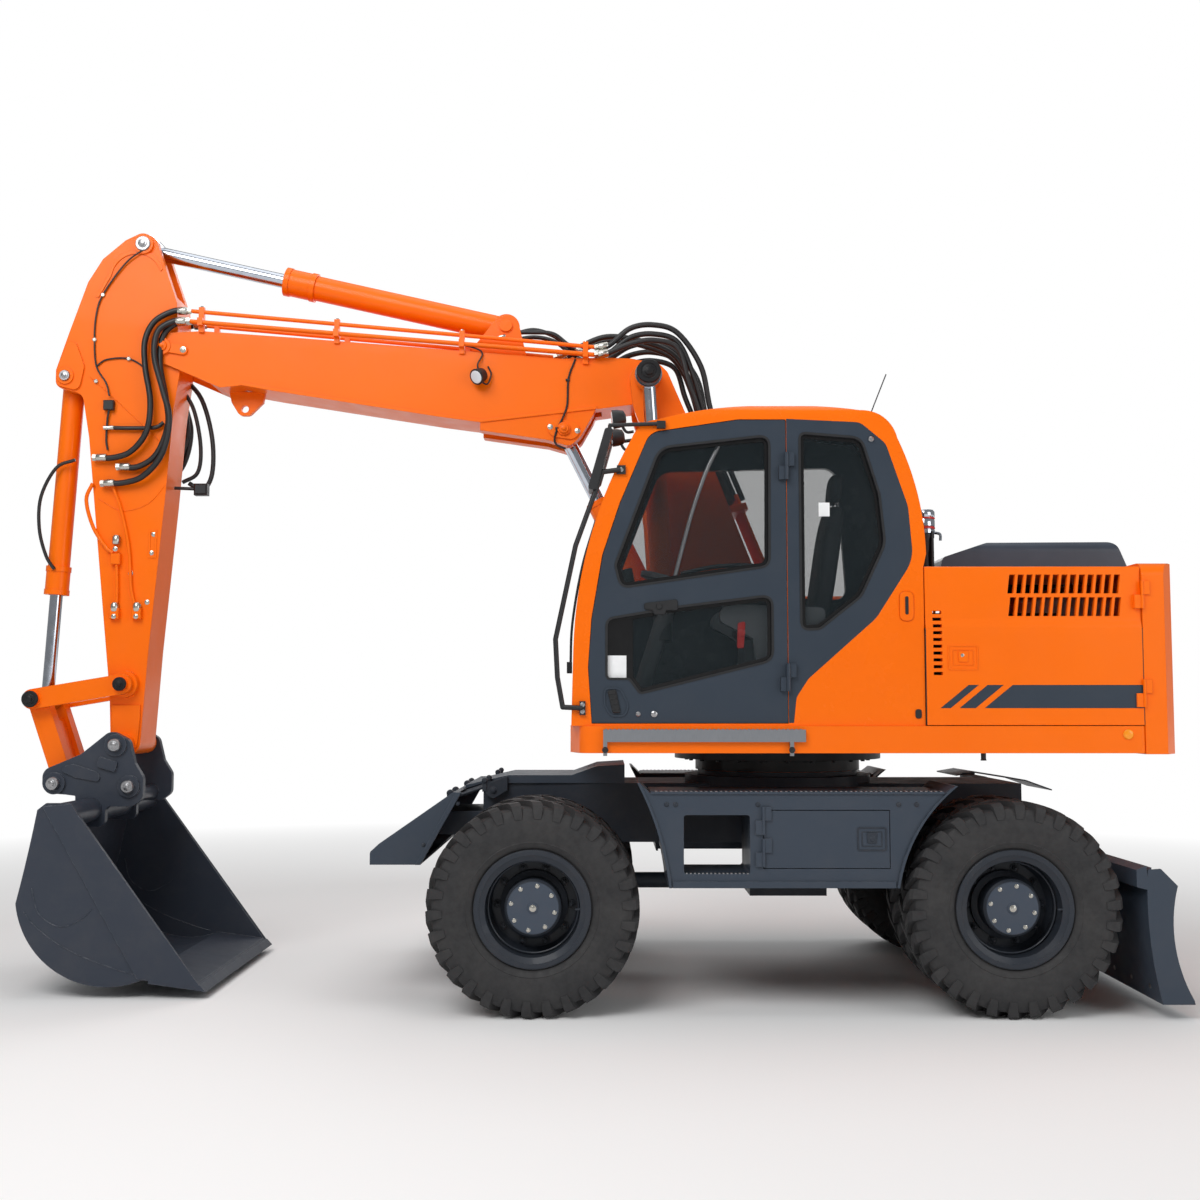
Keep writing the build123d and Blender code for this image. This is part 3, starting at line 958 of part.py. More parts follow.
build_wheels()
build_axles()
build_chassis()
build_side_boxes()
build_front_guard()
build_blade()
build_blade_cylinders()
build_deck()
build_lower_boom()
build_upper_boom()
build_arm()
build_linkage()
build_bucket()
build_cylinders()
build_cab()
build_house()
write_all()
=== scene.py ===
import json
import math

import bmesh
import bpy
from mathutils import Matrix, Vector


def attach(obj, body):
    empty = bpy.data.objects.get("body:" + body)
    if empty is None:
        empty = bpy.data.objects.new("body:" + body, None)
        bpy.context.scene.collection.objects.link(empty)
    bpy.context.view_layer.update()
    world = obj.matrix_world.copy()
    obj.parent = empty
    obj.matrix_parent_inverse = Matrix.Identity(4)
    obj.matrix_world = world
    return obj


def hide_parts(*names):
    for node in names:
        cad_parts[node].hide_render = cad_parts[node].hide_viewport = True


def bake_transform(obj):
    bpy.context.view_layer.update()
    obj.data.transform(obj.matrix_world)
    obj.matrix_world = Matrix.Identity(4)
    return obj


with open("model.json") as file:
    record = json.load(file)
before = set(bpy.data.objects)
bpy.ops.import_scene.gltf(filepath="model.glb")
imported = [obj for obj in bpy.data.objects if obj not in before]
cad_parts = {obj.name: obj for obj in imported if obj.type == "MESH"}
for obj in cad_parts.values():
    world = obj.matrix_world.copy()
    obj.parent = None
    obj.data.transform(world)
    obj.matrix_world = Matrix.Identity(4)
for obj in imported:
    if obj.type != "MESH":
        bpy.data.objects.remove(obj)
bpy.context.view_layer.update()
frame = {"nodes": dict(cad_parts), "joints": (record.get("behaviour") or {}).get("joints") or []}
scene = bpy.context.scene
scene.view_settings.view_transform = "Standard"

# The slewing axis, from which every place below is measured: X forward, Y to the machine's left, Z up
SLEW_X = next(joint["pos_m"][0] for joint in frame["joints"] if joint["name"] == "slew")


def V(x, y, z):
    """A place measured from the ground under the slewing axis, in metres."""
    return Vector((x + SLEW_X, y, z))


# Colour and materials
def srgb(r, g, b):
    """An 8-bit screen colour as linear RGBA."""
    out = []
    for value in (r, g, b):
        c = value / 255
        out.append(c / 12.92 if c <= 0.04045 else ((c + 0.055) / 1.055) ** 2.4)
    return (*out, 1.0)


def shade(colour, factor):
    return (*[min(1.0, c * factor) for c in colour[:3]], 1.0)


class Tree:
    """A small helper around one material's node tree."""

    def __init__(self, name):
        self.material = bpy.data.materials.new(name)
        self.material.use_nodes = True
        self.nodes = self.material.node_tree.nodes
        self.links = self.material.node_tree.links
        self.shader = self.nodes["Principled BSDF"]
        self.coords = self.nodes.new("ShaderNodeTexCoord").outputs["Object"]

    def node(self, kind, inputs=None, **settings):
        made = self.nodes.new(kind)
        for key, value in settings.items():
            setattr(made, key, value)
        for key, value in (inputs or {}).items():
            if isinstance(value, bpy.types.NodeSocket):
                self.links.new(value, made.inputs[key])
            else:
                made.inputs[key].default_value = value
        return made

    def noise(self, scale, detail=4.0, rough=0.55, vector=None):
        made = self.node("ShaderNodeTexNoise", {"Scale": scale, "Detail": detail, "Roughness": rough,
            "Vector": vector or self.coords})
        return made.outputs["Fac"]

    def ramp(self, value, low, high, a=0.0, b=1.0):
        made = self.node("ShaderNodeMapRange", {"Value": value, "From Min": low, "From Max": high,
            "To Min": a, "To Max": b})
        return made.outputs["Result"]

    def mix(self, factor, a, b):
        made = self.node("ShaderNodeMix", data_type="RGBA")
        for socket, value in ((made.inputs["Factor"], factor), (made.inputs["A"], a), (made.inputs["B"], b)):
            if isinstance(value, bpy.types.NodeSocket):
                self.links.new(value, socket)
            else:
                socket.default_value = value
        return made.outputs["Result"]

    def math(self, operation, a, b=0.5):
        return self.node("ShaderNodeMath", {0: a, 1: b}, operation=operation).outputs[0]

    def put(self, **sockets):
        for name, value in sockets.items():
            socket = self.shader.inputs[name.replace("_", " ")]
            if isinstance(value, bpy.types.NodeSocket):
                self.links.new(value, socket)
            else:
                socket.default_value = value

    def bump(self, height, strength, distance, normal=None):
        made = self.node("ShaderNodeBump", {"Height": height, "Strength": strength, "Distance": distance})
        if normal:
            self.links.new(normal, made.inputs["Normal"])
        self.links.new(made.outputs["Normal"], self.shader.inputs["Normal"])


def paint(name, colour, rough=0.32, coat=0.35, dust=0.03, wear=None, peel=0.05, edge=0.004, lining_and_shade=None):
    """Sprayed machine paint: slight cloudiness, dust, orange peel, rounded edges, worn ones if asked, and
    dark inner faces if asked, which are partly interior trim and partly painted shade.
    """
    t = Tree(name)
    cloud = t.ramp(t.noise(1.1, 5.0, 0.6), 0.3, 0.7)
    base = t.mix(cloud, shade(colour, 0.96), shade(colour, 1.04))
    film = t.ramp(t.noise(5.0, 7.0, 0.7), 0.45, 0.85)
    base = t.mix(t.math("MULTIPLY", film, dust), base, srgb(150, 138, 122))
    soft = t.node("ShaderNodeBevel", {"Radius": edge}, samples=4).outputs["Normal"]
    if wear:
        flat = t.node("ShaderNodeNewGeometry").outputs["Normal"]
        turn = t.node("ShaderNodeVectorMath", {0: soft, 1: flat}, operation="DOT_PRODUCT").outputs["Value"]
        mark = t.math("MULTIPLY", t.ramp(turn, 0.985, 0.8), t.ramp(t.noise(26.0, 6.0, 0.75), 0.42, 0.62))
        scratch = t.node("ShaderNodeMapping", {"Vector": t.coords,
            "Scale": (3.0, 3.0, 40.0)}).outputs["Vector"]
        lines = t.ramp(t.noise(4.0, 8.0, 0.8, scratch), 0.66, 0.78)
        mark = t.math("MAXIMUM", mark, t.math("MULTIPLY", lines, wear[2]))
        base = t.mix(t.math("MULTIPLY", mark, wear[1]), base, wear[0])
    # Faces turned towards the cab's middle take the dark trim colour. This is partly the interior lining and
    # partly painted shade for the dim inside of the cab and the door gaps.
    if lining_and_shade:
        inside = t.node("ShaderNodeVectorMath", {0: t.coords, 1: CAB_MIDDLE}, operation="SUBTRACT").outputs[0]
        faces = t.node("ShaderNodeTexCoord").outputs["Normal"]
        turned = t.node("ShaderNodeVectorMath", {0: inside, 1: faces},
            operation="DOT_PRODUCT").outputs["Value"]
        base = t.mix(t.ramp(turned, -0.03, -0.1), base, lining_and_shade)
    t.put(Base_Color=base, Roughness=t.ramp(t.noise(7.0, 5.0), 0.3, 0.7, rough * 0.85, rough * 1.2))
    t.put(Coat_Weight=coat, Coat_Roughness=0.06, Specular_IOR_Level=0.22)
    t.bump(t.noise(240.0, 2.0), peel, 0.0005, soft)
    return t.material


def rubber(name, colour, rough=0.75, dust=0.35):
    t = Tree(name)
    cloud = t.ramp(t.noise(6.0, 6.0, 0.65), 0.35, 0.7)
    base = t.mix(t.math("MULTIPLY", cloud, dust), colour, srgb(84, 82, 80))
    t.put(Base_Color=base, Roughness=t.ramp(t.noise(30.0), 0.3, 0.7, rough * 0.85, min(1, rough * 1.15)))
    t.bump(t.noise(180.0, 4.0, 0.7), 0.25, 0.0012)
    return t.material


def plastic(name, colour, rough=0.5, grain=320.0, depth=0.15):
    t = Tree(name)
    cloud = t.ramp(t.noise(4.0, 4.0), 0.3, 0.7)
    t.put(Base_Color=t.mix(cloud, shade(colour, 0.88), shade(colour, 1.12)),
        Roughness=t.ramp(t.noise(20.0), 0.3, 0.7, rough * 0.85, rough * 1.15))
    t.bump(t.noise(grain, 2.0), depth, 0.0006)
    return t.material


def metal(name, colour, rough=0.2, streak=0.3, grain=(60.0, 60.0, 4.0)):
    """Bare metal with fine turning or wiping marks."""
    t = Tree(name)
    stretched = t.node("ShaderNodeMapping", {"Vector": t.coords, "Scale": grain}).outputs["Vector"]
    marks = t.noise(6.0, 5.0, 0.6, stretched)
    t.put(Metallic=1.0, Base_Color=t.mix(t.ramp(marks, 0.3, 0.7), shade(colour, 0.86), colour),
        Roughness=t.ramp(marks, 0.25, 0.75, rough * (1 - streak), rough * (1 + streak)))
    t.bump(marks, 0.05, 0.0004)
    return t.material


def glass(name, tint, alpha):
    """Tinted safety glass with faint smears."""
    t = Tree(name)
    smear = t.ramp(t.noise(2.2, 6.0, 0.65), 0.45, 0.85, 0.01, 0.05)
    t.put(Base_Color=tint, Roughness=smear, Alpha=alpha, IOR=1.5, Specular_IOR_Level=0.5)
    return t.material


ORANGE = srgb(255, 112, 0)
GREY = srgb(58, 67, 79)
TRIM_AND_SHADE = srgb(40, 43, 48)
BLACK = srgb(22, 23, 26)
WHITE = (1.0, 1.0, 1.0, 1.0)
CAB_MIDDLE = V(0.3, 0.8, 2.2)

M = {
    "orange": paint("orange_paint", ORANGE, 0.34, 0.07, 0.02, (srgb(205, 92, 34), 0.35, 0.0)),
    "cab_orange": paint("cab_orange_paint", ORANGE, 0.26, 0.16, 0.01, lining_and_shade=TRIM_AND_SHADE),
    "grey": paint("grey_paint", GREY, 0.42, 0.08, 0.04, (srgb(120, 125, 132), 0.5, 0.1)),
    "frame_grey": paint("frame_paint", srgb(48, 54, 63), 0.48, 0.05, 0.07, (srgb(112, 115, 120), 0.5, 0.15)),
    "door_grey": paint("door_paint", srgb(52, 61, 72), 0.36, 0.1, 0.02, lining_and_shade=TRIM_AND_SHADE),
    "bucket": paint("bucket_paint", srgb(54, 60, 71), 0.42, 0.08, 0.06,
                    (srgb(158, 162, 168), 0.85, 0.3), 0.1),
    "rim": paint("rim_paint", srgb(44, 49, 57), 0.4, 0.08, 0.06, (srgb(104, 109, 116), 0.4, 0.0)),
    "hub": paint("hub_paint", srgb(66, 75, 88), 0.4, 0.08, 0.05),
    "black_paint": paint("black_paint", srgb(24, 26, 29), 0.42, 0.05, 0.05, (srgb(88, 90, 92), 0.4, 0.0)),
    "tyre": rubber("tyre_rubber", srgb(36, 36, 38), 0.72, 0.22),
    "hose": rubber("hose_rubber", srgb(24, 24, 26), 0.42, 0.06),
    "chrome": metal("chrome_rod", srgb(196, 202, 212), 0.11, 0.3, (3.0, 3.0, 3.0)),
    "steel": metal("bare_steel", srgb(172, 172, 174), 0.34),
    "zinc": metal("zinc_fitting", srgb(196, 194, 186), 0.26),
    "glass": glass("cab_glass_clear", srgb(40, 50, 54), 0.26),
    "black": plastic("black_plastic", BLACK, 0.45),
    "gloss_black": plastic("gloss_black", srgb(14, 14, 16), 0.18, 400.0, 0.03),
    "seat": plastic("seat_fabric", srgb(38, 38, 42), 0.9, 700.0, 0.5),
    "console": plastic("console_grey", srgb(84, 87, 91), 0.6),
    "cover": plastic("cover_plastic", srgb(56, 65, 78), 0.34, 200.0, 0.08),
    "white": plastic("plate_white", srgb(238, 239, 240), 0.35, 400.0, 0.03),
    "red": plastic("red_plastic", srgb(205, 38, 32), 0.35),
    "amber": plastic("amber_lens", srgb(252, 150, 24), 0.2, 300.0, 0.05),
    "lens": plastic("lamp_lens", srgb(225, 230, 235), 0.12, 90.0, 0.3),
    "silver": metal("silver_step", srgb(150, 153, 158), 0.42),
}

NODE_LOOKS = {
    "cab_orange": "cab_shell",
    "orange": "adjust_barrel arm arm_barrel bucket_barrel counterweight deck guide_links hood_door_left "
              "hood_door_right hood_frame lift_barrels lower_boom push_link tanks upper_boom",
    "grey": "locker_door_left locker_door_right side_boxes front_guard frame_covers blade",
    "door_grey": "cab_door cab_quarter",
    "bucket": "bucket coupler",
    "frame_grey": "axles blade_arms blade_barrels blade_links chassis_frame engine "
                  "knuckle_left knuckle_right",
    "rim": "rim_front_left rim_front_right rim_rear_left rim_rear_right",
    "tyre": "tyres_front_left tyres_front_right tyres_rear_left tyres_rear_right",
    "chrome": "adjust_rod air_cleaner arm_rod blade_rods bucket_rod lift_rods",
    "cover": "hood_cover",
    "glass": "cab_glass door_glass",
    "seat": "seat_cushions",
    "console": "controls",
    "silver": "cab_step",
    "black": "cab_fittings",
}
for look, names in NODE_LOOKS.items():
    for name in names.split():
        node = frame["nodes"][name]
        node.data.materials.clear()
        node.data.materials.append(M[look])


# Camera, floor and light
CAMERA_SPOT = V(1.011, 8.45, 1.561)
CAMERA_PITCH = math.radians(4.21)
CAMERA_TURN = math.radians(0.2)
LENS_MM = 42.77
SENSOR_MM = 36.0
SEEN_TO = 400.0
FLOOR_R = 90.0
FADE = (4.5, 11.0)
AMBIENT = 0.3


def make_camera():
    data = bpy.data.cameras.new("camera")
    data.lens = LENS_MM
    data.sensor_width = SENSOR_MM
    data.clip_end = SEEN_TO
    camera = bpy.data.objects.new("camera", data)
    scene.collection.objects.link(camera)
    camera.location = CAMERA_SPOT
    flat = math.cos(CAMERA_PITCH)
    look = Vector((math.sin(CAMERA_TURN) * flat, -math.cos(CAMERA_TURN) * flat, math.sin(CAMERA_PITCH)))
    camera.rotation_euler = look.to_track_quat("-Z", "Y").to_euler()
    scene.camera = camera


def make_floor():
    mesh = bpy.data.meshes.new("floor")
    shape = bmesh.new()
    bmesh.ops.create_circle(shape, cap_ends=True, segments=96, radius=FLOOR_R)
    shape.to_mesh(mesh)
    shape.free()
    floor = bpy.data.objects.new("floor", mesh)
    scene.collection.objects.link(floor)
    t = Tree("pale_floor")
    t.put(Base_Color=(0.93, 0.93, 0.93, 1.0), Roughness=0.9, Specular_IOR_Level=0.1)
    spot = t.node("ShaderNodeSeparateXYZ", {"Vector": t.coords})
    far = t.math("SQRT", t.math("ADD", t.math("POWER", spot.outputs["X"], 2.0),
        t.math("POWER", spot.outputs["Y"], 2.0)))
    away = t.ramp(far, *FADE)
    glow = t.node("ShaderNodeEmission", {"Color": WHITE, "Strength": 1.0})
    path = t.node("ShaderNodeLightPath")
    seen = t.math("MAXIMUM", path.outputs["Is Camera Ray"], t.math("MAXIMUM", path.outputs["Is Glossy Ray"],
        path.outputs["Is Transmission Ray"]))
    mixed = t.node("ShaderNodeMixShader", {0: t.math("MULTIPLY", away, seen)})
    t.links.new(t.shader.outputs[0], mixed.inputs[1])
    t.links.new(glow.outputs[0], mixed.inputs[2])
    t.links.new(mixed.outputs[0], t.nodes["Material Output"].inputs["Surface"])
    floor.data.materials.append(t.material)


def make_world():
    world = bpy.data.worlds.new("studio")
    scene.world = world
    world.use_nodes = True
    nodes, links = world.node_tree.nodes, world.node_tree.links
    back = nodes["Background"]
    back.inputs["Color"].default_value = WHITE
    back.inputs["Strength"].default_value = AMBIENT
    white = nodes.new("ShaderNodeBackground")
    white.inputs["Color"].default_value = WHITE
    white.inputs["Strength"].default_value = 1.0
    path = nodes.new("ShaderNodeLightPath")
    mixed = nodes.new("ShaderNodeMixShader")
    links.new(path.outputs["Is Camera Ray"], mixed.inputs[0])
    links.new(back.outputs[0], mixed.inputs[1])
    links.new(white.outputs[0], mixed.inputs[2])
    links.new(mixed.outputs[0], nodes["World Output"].inputs["Surface"])


def area_light(name, place, aim, size, power):
    data = bpy.data.lights.new(name, "AREA")
    data.shape = "RECTANGLE"
    data.size, data.size_y = size
    data.energy = power
    light = bpy.data.objects.new(name, data)
    scene.collection.objects.link(light)
    light.location = place
    light.rotation_euler = (Vector(aim) - Vector(place)).to_track_quat("-Z", "Y").to_euler()


make_camera()
make_floor()
make_world()
area_light("key", V(4.5, 7.5, 8.0), V(0.6, 0.0, 1.6), (6.0, 5.0), 560)
area_light("fill", V(-6.5, 6.5, 4.0), V(0.0, 0.0, 1.5), (5.0, 5.0), 190)
area_light("back", V(0.0, -8.0, 6.0), V(0.0, 0.0, 1.8), (8.0, 4.0), 200)
area_light("top", V(0.5, 0.0, 10.0), V(0.5, 0.0, 0.0), (8.0, 6.0), 200)


# Shapes
def curve(points, steps=6):
    """A smooth route through given points."""
    pts = [Vector(p) for p in points]
    if len(pts) < 3:
        return pts
    ends = [pts[0] * 2 - pts[1], *pts, pts[-1] * 2 - pts[-2]]
    out = []
    for a, b, c, d in zip(ends, ends[1:], ends[2:], ends[3:]):
        for k in range(steps):
            t = k / steps
            line = 2 * b + (c - a) * t
            out.append(0.5 * (line + (2 * a - 5 * b + 4 * c - d) * t ** 2 + (3 * b - a - 3 * c + d) * t ** 3))
    return [*out, pts[-1]]


def rounded(points, steps=6):
    """An outline with arcs at the corners that have a third value, their radius."""
    out = []
    for i, p in enumerate(points):
        here = Vector(p[:2])
        radius = p[2] if len(p) > 2 else 0.0
        back = Vector(points[i - 1][:2]) - here
        ahead = Vector(points[(i + 1) % len(points)][:2]) - here
        if not radius:
            out.append(here)
            continue
        half = back.angle(ahead) / 2
        reach = min(radius / math.tan(half), back.length * 0.49, ahead.length * 0.49)
        a, b = here + back.normalized() * reach, here + ahead.normalized() * reach
        for k in range(steps + 1):
            t = k / steps
            out.append(a * (1 - t) ** 2 + here * 2 * t * (1 - t) + b * t ** 2)
    return out


def rect(x0, z0, x1, z1, radius=0.0):
    """A four-cornered outline."""
    return [(x0, z0, radius), (x1, z0, radius), (x1, z1, radius), (x0, z1, radius)]


def run(y, *spots):
    """A route at one distance from the middle plane."""
    return [V(x, y, z) for x, z in spots]


def inset(outline, distance):
    """The outline moved inwards by a distance."""
    count = len(outline)
    area = sum(outline[i - 1].cross(outline[i]) for i in range(count))
    sign = 1 if area > 0 else -1
    out = []
    for i, p in enumerate(outline):
        a = (p - outline[i - 1]).normalized()
        b = (outline[(i + 1) % count] - p).normalized()
        across = Vector((-(a + b).y, (a + b).x)).normalized() * sign
        spread = max(0.35, abs(across.dot(Vector((-a.y, a.x)))))
        out.append(p + across * distance / spread)
    return out


def other_side(points):
    return [Vector((p.x, -p.y, p.z)) for p in points]


class Form:
    """A mesh built up from tubes, plates, turned shapes and bolts."""

    def __init__(self):
        self.points, self.faces = [], []

    def skin(self, rings, loop=False):
        """Faces between rings of points, closed by caps or, with loop, by a last strip."""
        start, n, count = len(self.points), len(rings[0]), len(rings)
        for ring in rings:
            self.points.extend(ring)
        for i in range(count if loop else count - 1):
            a, b = start + i * n, start + (i + 1) % count * n
            for k in range(n):
                m = (k + 1) % n
                self.faces.append((a + k, a + m, b + m, b + k))
        if not loop:
            self.faces.append(tuple(range(start + n - 1, start - 1, -1)))
            self.faces.append(tuple(range(start + (count - 1) * n, start + count * n)))
        return self

    def tube(self, points, radius, sides=12, steps=6):
        route = curve(points, steps)
        side, rings = None, []
        for i, p in enumerate(route):
            along = (route[min(i + 1, len(route) - 1)] - route[max(i - 1, 0)]).normalized()
            if side is None:
                side = along.orthogonal()
            side = (side - along * side.dot(along)).normalized()
            up = along.cross(side)
            ring = []
            for k in range(sides):
                turn = math.tau * k / sides
                ring.append(p + side * (math.cos(turn) * radius) + up * (math.sin(turn) * radius))
            rings.append(ring)
        return self.skin(rings)

    def turned(self, centre, axis, profile, sides=32, loop=False):
        """Radius and distance pairs turned about an axis."""
        axis = Vector(axis).normalized()
        side = axis.orthogonal().normalized()
        up = axis.cross(side)
        rings = []
        for radius, along in profile:
            ring = []
            for k in range(sides):
                turn = math.tau * k / sides
                ring.append(centre + axis * along + (side * math.cos(turn) + up * math.sin(turn)) * radius)
            rings.append(ring)
        return self.skin(rings, loop)

    def bolt(self, spot, axis, size, height=None):
        """Hexagon head on a washer; size is the head's radius."""
        height = height or size * 0.7
        self.turned(spot, axis, [(size * 1.45, 0.0), (size * 1.45, height * 0.22),
            (size * 1.3, height * 0.3)], 20)
        return self.turned(spot, axis, [(size, height * 0.3), (size, height * 0.9), (size * 0.86, height)], 6)

    def plate(self, points, near, far, edge=0.001):
        """A plate cut to an outline in the side view, with its edges chamfered."""
        shape = rounded(points)
        small = inset(shape, edge)
        sign = 1 if far > near else -1
        rings = [(small, near), (shape, near + edge * sign), (shape, far - edge * sign), (small, far)]
        return self.skin([[V(p.x, w, p.y) for p in ring] for ring, w in rings])

    def band(self, points, width, near, far):
        """A flat ring just inside an outline in the side view."""
        shape = rounded(points)
        small = inset(shape, width)
        count = len(shape)
        rings = []
        for i in range(count):
            a, b = shape[i], small[i]
            rings.append([V(a.x, near, a.y), V(a.x, far, a.y), V(b.x, far, b.y), V(b.x, near, b.y)])
        return self.skin(rings, True)

    def block(self, low, high, edge=0.002):
        return self.plate(rect(low[0], low[2], high[0], high[2]), low[1], high[1], edge)

    def across(self, sign):
        """The shape on the side that the sign gives."""
        self.points = [Vector((p.x, p.y * sign, p.z)) for p in self.points]
        return self

    def mirrored(self):
        """The same shape and its mirror image on the machine's other side."""
        start = len(self.points)
        self.points += other_side(self.points)
        self.faces += [tuple(start + i for i in reversed(face)) for face in self.faces]
        return self

    def place(self, name, look, body, bend=None, stands_for=(), angle=35.0):
        """Makes the object; it rides on a body, or, when bend is given, stays where it is built, tied to no
        body.
        """
        mesh = bpy.data.meshes.new(name)
        mesh.from_pydata(self.points, [], self.faces)
        shape = bmesh.new()
        shape.from_mesh(mesh)
        bmesh.ops.recalc_face_normals(shape, faces=shape.faces)
        shape.to_mesh(mesh)
        shape.free()
        mesh.shade_smooth()
        mesh.set_sharp_from_angle(angle=math.radians(angle))
        mesh.materials.append(M[look])
        made = bpy.data.objects.new(name, mesh)
        scene.collection.objects.link(made)
        if bend:
            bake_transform(made)
        else:
            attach(made, body)
        if stands_for:
            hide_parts(*stands_for)
        return made


LEFT = (0.0, 1.0, 0.0)
UP = (0.0, 0.0, 1.0)
SIDES = {"left": 1, "right": -1}

# Wheels
TYRE_R = 0.54
TWIN_MIDDLE = 0.945
TWIN_HALF_PITCH = 0.165
AXLE_X = {"front": 1.375, "rear": -1.04}
AXLE_Z = 0.54
LUGS = 30
DISC_FACE = 1.001
HUB_FACE = 1.1702
WHEEL_NUTS = 10
CAP_BOLTS = 8
CARCASS = [(0.268, 0.086), (0.268, 0.099), (0.299, 0.101), (0.306, 0.112), (0.318, 0.121), (0.33, 0.126),
           (0.334, 0.1285), (0.338, 0.1265), (0.365, 0.134), (0.4, 0.1385), (0.432, 0.1385), (0.452, 0.136),
           (0.478, 0.13), (0.5, 0.121), (0.508, 0.108), (0.513, 0.06)]
LUG_RUN = [((0.54, 0.006), (0.506, 0.006), 0.0, 0.022), ((0.5398, 0.045), (0.506, 0.045), 3.0, 0.022),
           ((0.539, 0.088), (0.503, 0.088), 6.4, 0.024), ((0.536, 0.116), (0.495, 0.108), 8.2, 0.026),
           ((0.52, 0.134), (0.48, 0.118), 9.0, 0.026), ((0.488, 0.1396), (0.47, 0.124), 9.2, 0.025),
           ((0.452, 0.1398), (0.446, 0.13), 9.2, 0.021)]


def tyre(form, centre):
    """Carcass with a ribbed side wall and two rows of slanted, shouldered lugs."""
    profile = [(r, y) for r, y in CARCASS] + [(r, -y) for r, y in reversed(CARCASS)]
    form.turned(centre, LEFT, profile, 96, True)
    for side in SIDES.values():
        for i in range(LUGS):
            base = math.tau * (i + (0.5 if side < 0 else 0.0)) / LUGS
            rings = []
            for outer, inner, turn, half in LUG_RUN:
                angle = base + math.radians(turn)
                ring = []
                for (radius, y), k in ((outer, -1), (outer, 1), (inner, 1.25), (inner, -1.25)):
                    a = angle + k * half / TYRE_R
                    ring.append(centre + Vector((math.cos(a) * radius, y * side, math.sin(a) * radius)))
                rings.append(ring)
            form.skin(rings)


def wheel_trim(sign, centre, tag):
    """Nuts, cap bolts and the bright edge of a rim's outer flange."""
    body = f"wheels_{tag}"
    out = (0.0, sign, 0.0)

    def around(radius, count, y, phase=0.0):
        for i in range(count):
            a = math.tau * i / count + phase
            yield centre + Vector((math.cos(a) * radius, y * sign, math.sin(a) * radius))

    nuts = Form()
    for spot in around(0.192, WHEEL_NUTS, DISC_FACE):
        nuts.bolt(spot, out, 0.015, 0.026)
        nuts.turned(spot, out, [(0.008, 0.02), (0.008, 0.042), (0.006, 0.045)], 10)
    nuts.place(f"wheel_nuts_{tag}", "rim", body)
    Form().turned(centre + Vector((0, HUB_FACE * sign, 0)), out, [(0.132, 0.0), (0.13, 0.004), (0.06, 0.0055),
        (0.028, 0.0055), (0.026, 0.01), (0.012, 0.012)], 48).place(f"hub_cap_{tag}", "hub", body)
    small = Form()
    for spot in around(0.112, CAP_BOLTS, HUB_FACE + 0.004, 0.2):
        small.bolt(spot, out, 0.0075, 0.008)
    small.bolt(centre + Vector((0, (HUB_FACE + 0.011) * sign, 0)), out, 0.012, 0.009)
    small.place(f"cap_bolts_{tag}", "zinc", body)
    ring = Form()
    ring.turned(centre, out, [(0.2685, 1.212), (0.2685, 1.2258), (0.291, 1.2262), (0.2958, 1.2225),
        (0.2962, 1.2105), (0.29, 1.2105)], 72, True)
    ring.turned(centre, out, [(0.235, 1.12), (0.235, 1.127), (0.23, 1.13), (0.225, 1.127), (0.225, 1.12)], 72,
        True)
    ring.turned(centre + Vector((-0.245, 1.2 * sign, 0.0)), (1.0, 0.6 * sign, 0.0),
        [(0.006, 0.0), (0.006, 0.03), (0.004, 0.036)], 10)
    ring.place(f"rim_edge_{tag}", "rim", body)


def dress_wheels():
    for end, x in AXLE_X.items():
        for side_name, sign in SIDES.items():
            form, tag = Form(), f"{end}_{side_name}"
            for k in (-1, 1):
                tyre(form, V(x, sign * TWIN_MIDDLE + k * TWIN_HALF_PITCH, AXLE_Z))
            form.place(f"tyre_pair_{tag}", "tyre", f"wheels_{tag}", stands_for=(f"tyres_{tag}",))
            wheel_trim(sign, V(x, 0.0, AXLE_Z), tag)


# Engine house
PANEL_Y = 1.215
DECK_Y = 1.22
CAB_Y = 1.205
RING_BOLTS = 24
RING_BOLT_R = 0.53


def stripes():
    """Two slanted bars and the plain band behind them."""
    low, high, lean = 1.545, 1.662, 0.144
    form = Form()
    for front, rear in ((-0.686, -0.737), (-0.782, -0.863)):
        form.plate([(front, low), (rear, low), (rear - lean, high), (front - lean, high)], PANEL_Y,
            PANEL_Y + 0.0012, 0.0004)
    return form.plate([(-0.909, low), (-1.712, low), (-1.712, high), (-0.909 - lean, high)], PANEL_Y,
        PANEL_Y + 0.0012, 0.0004)


def latch_pan(low, high, y):
    """Pressed rim, pan and folded finger lip of a flush latch."""
    (x0, z0), (x1, z1) = low, high
    form = Form()
    form.band(rect(x0, z0, x1, z1, 0.015), 0.008, y, y + 0.003)
    mx, mz = (x1 - x0) * 0.15, (z1 - z0) * 0.18
    form.band(rect(x0 + mx, z0 + mz, x1 - mx, z1 - mz, 0.006), 0.005, y, y + 0.0025)
    cx, cz = (x0 + x1) / 2, (z0 + z1) / 2
    form.plate([(cx - mx, cz - mz, 0.006), (cx + mx, cz - mz, 0.006), (cx + mx * 1.2, cz + mz * 1.4, 0.006),
        (cx - mx * 1.2, cz + mz * 1.4, 0.006)], y, y + 0.006, 0.0015)
    return form


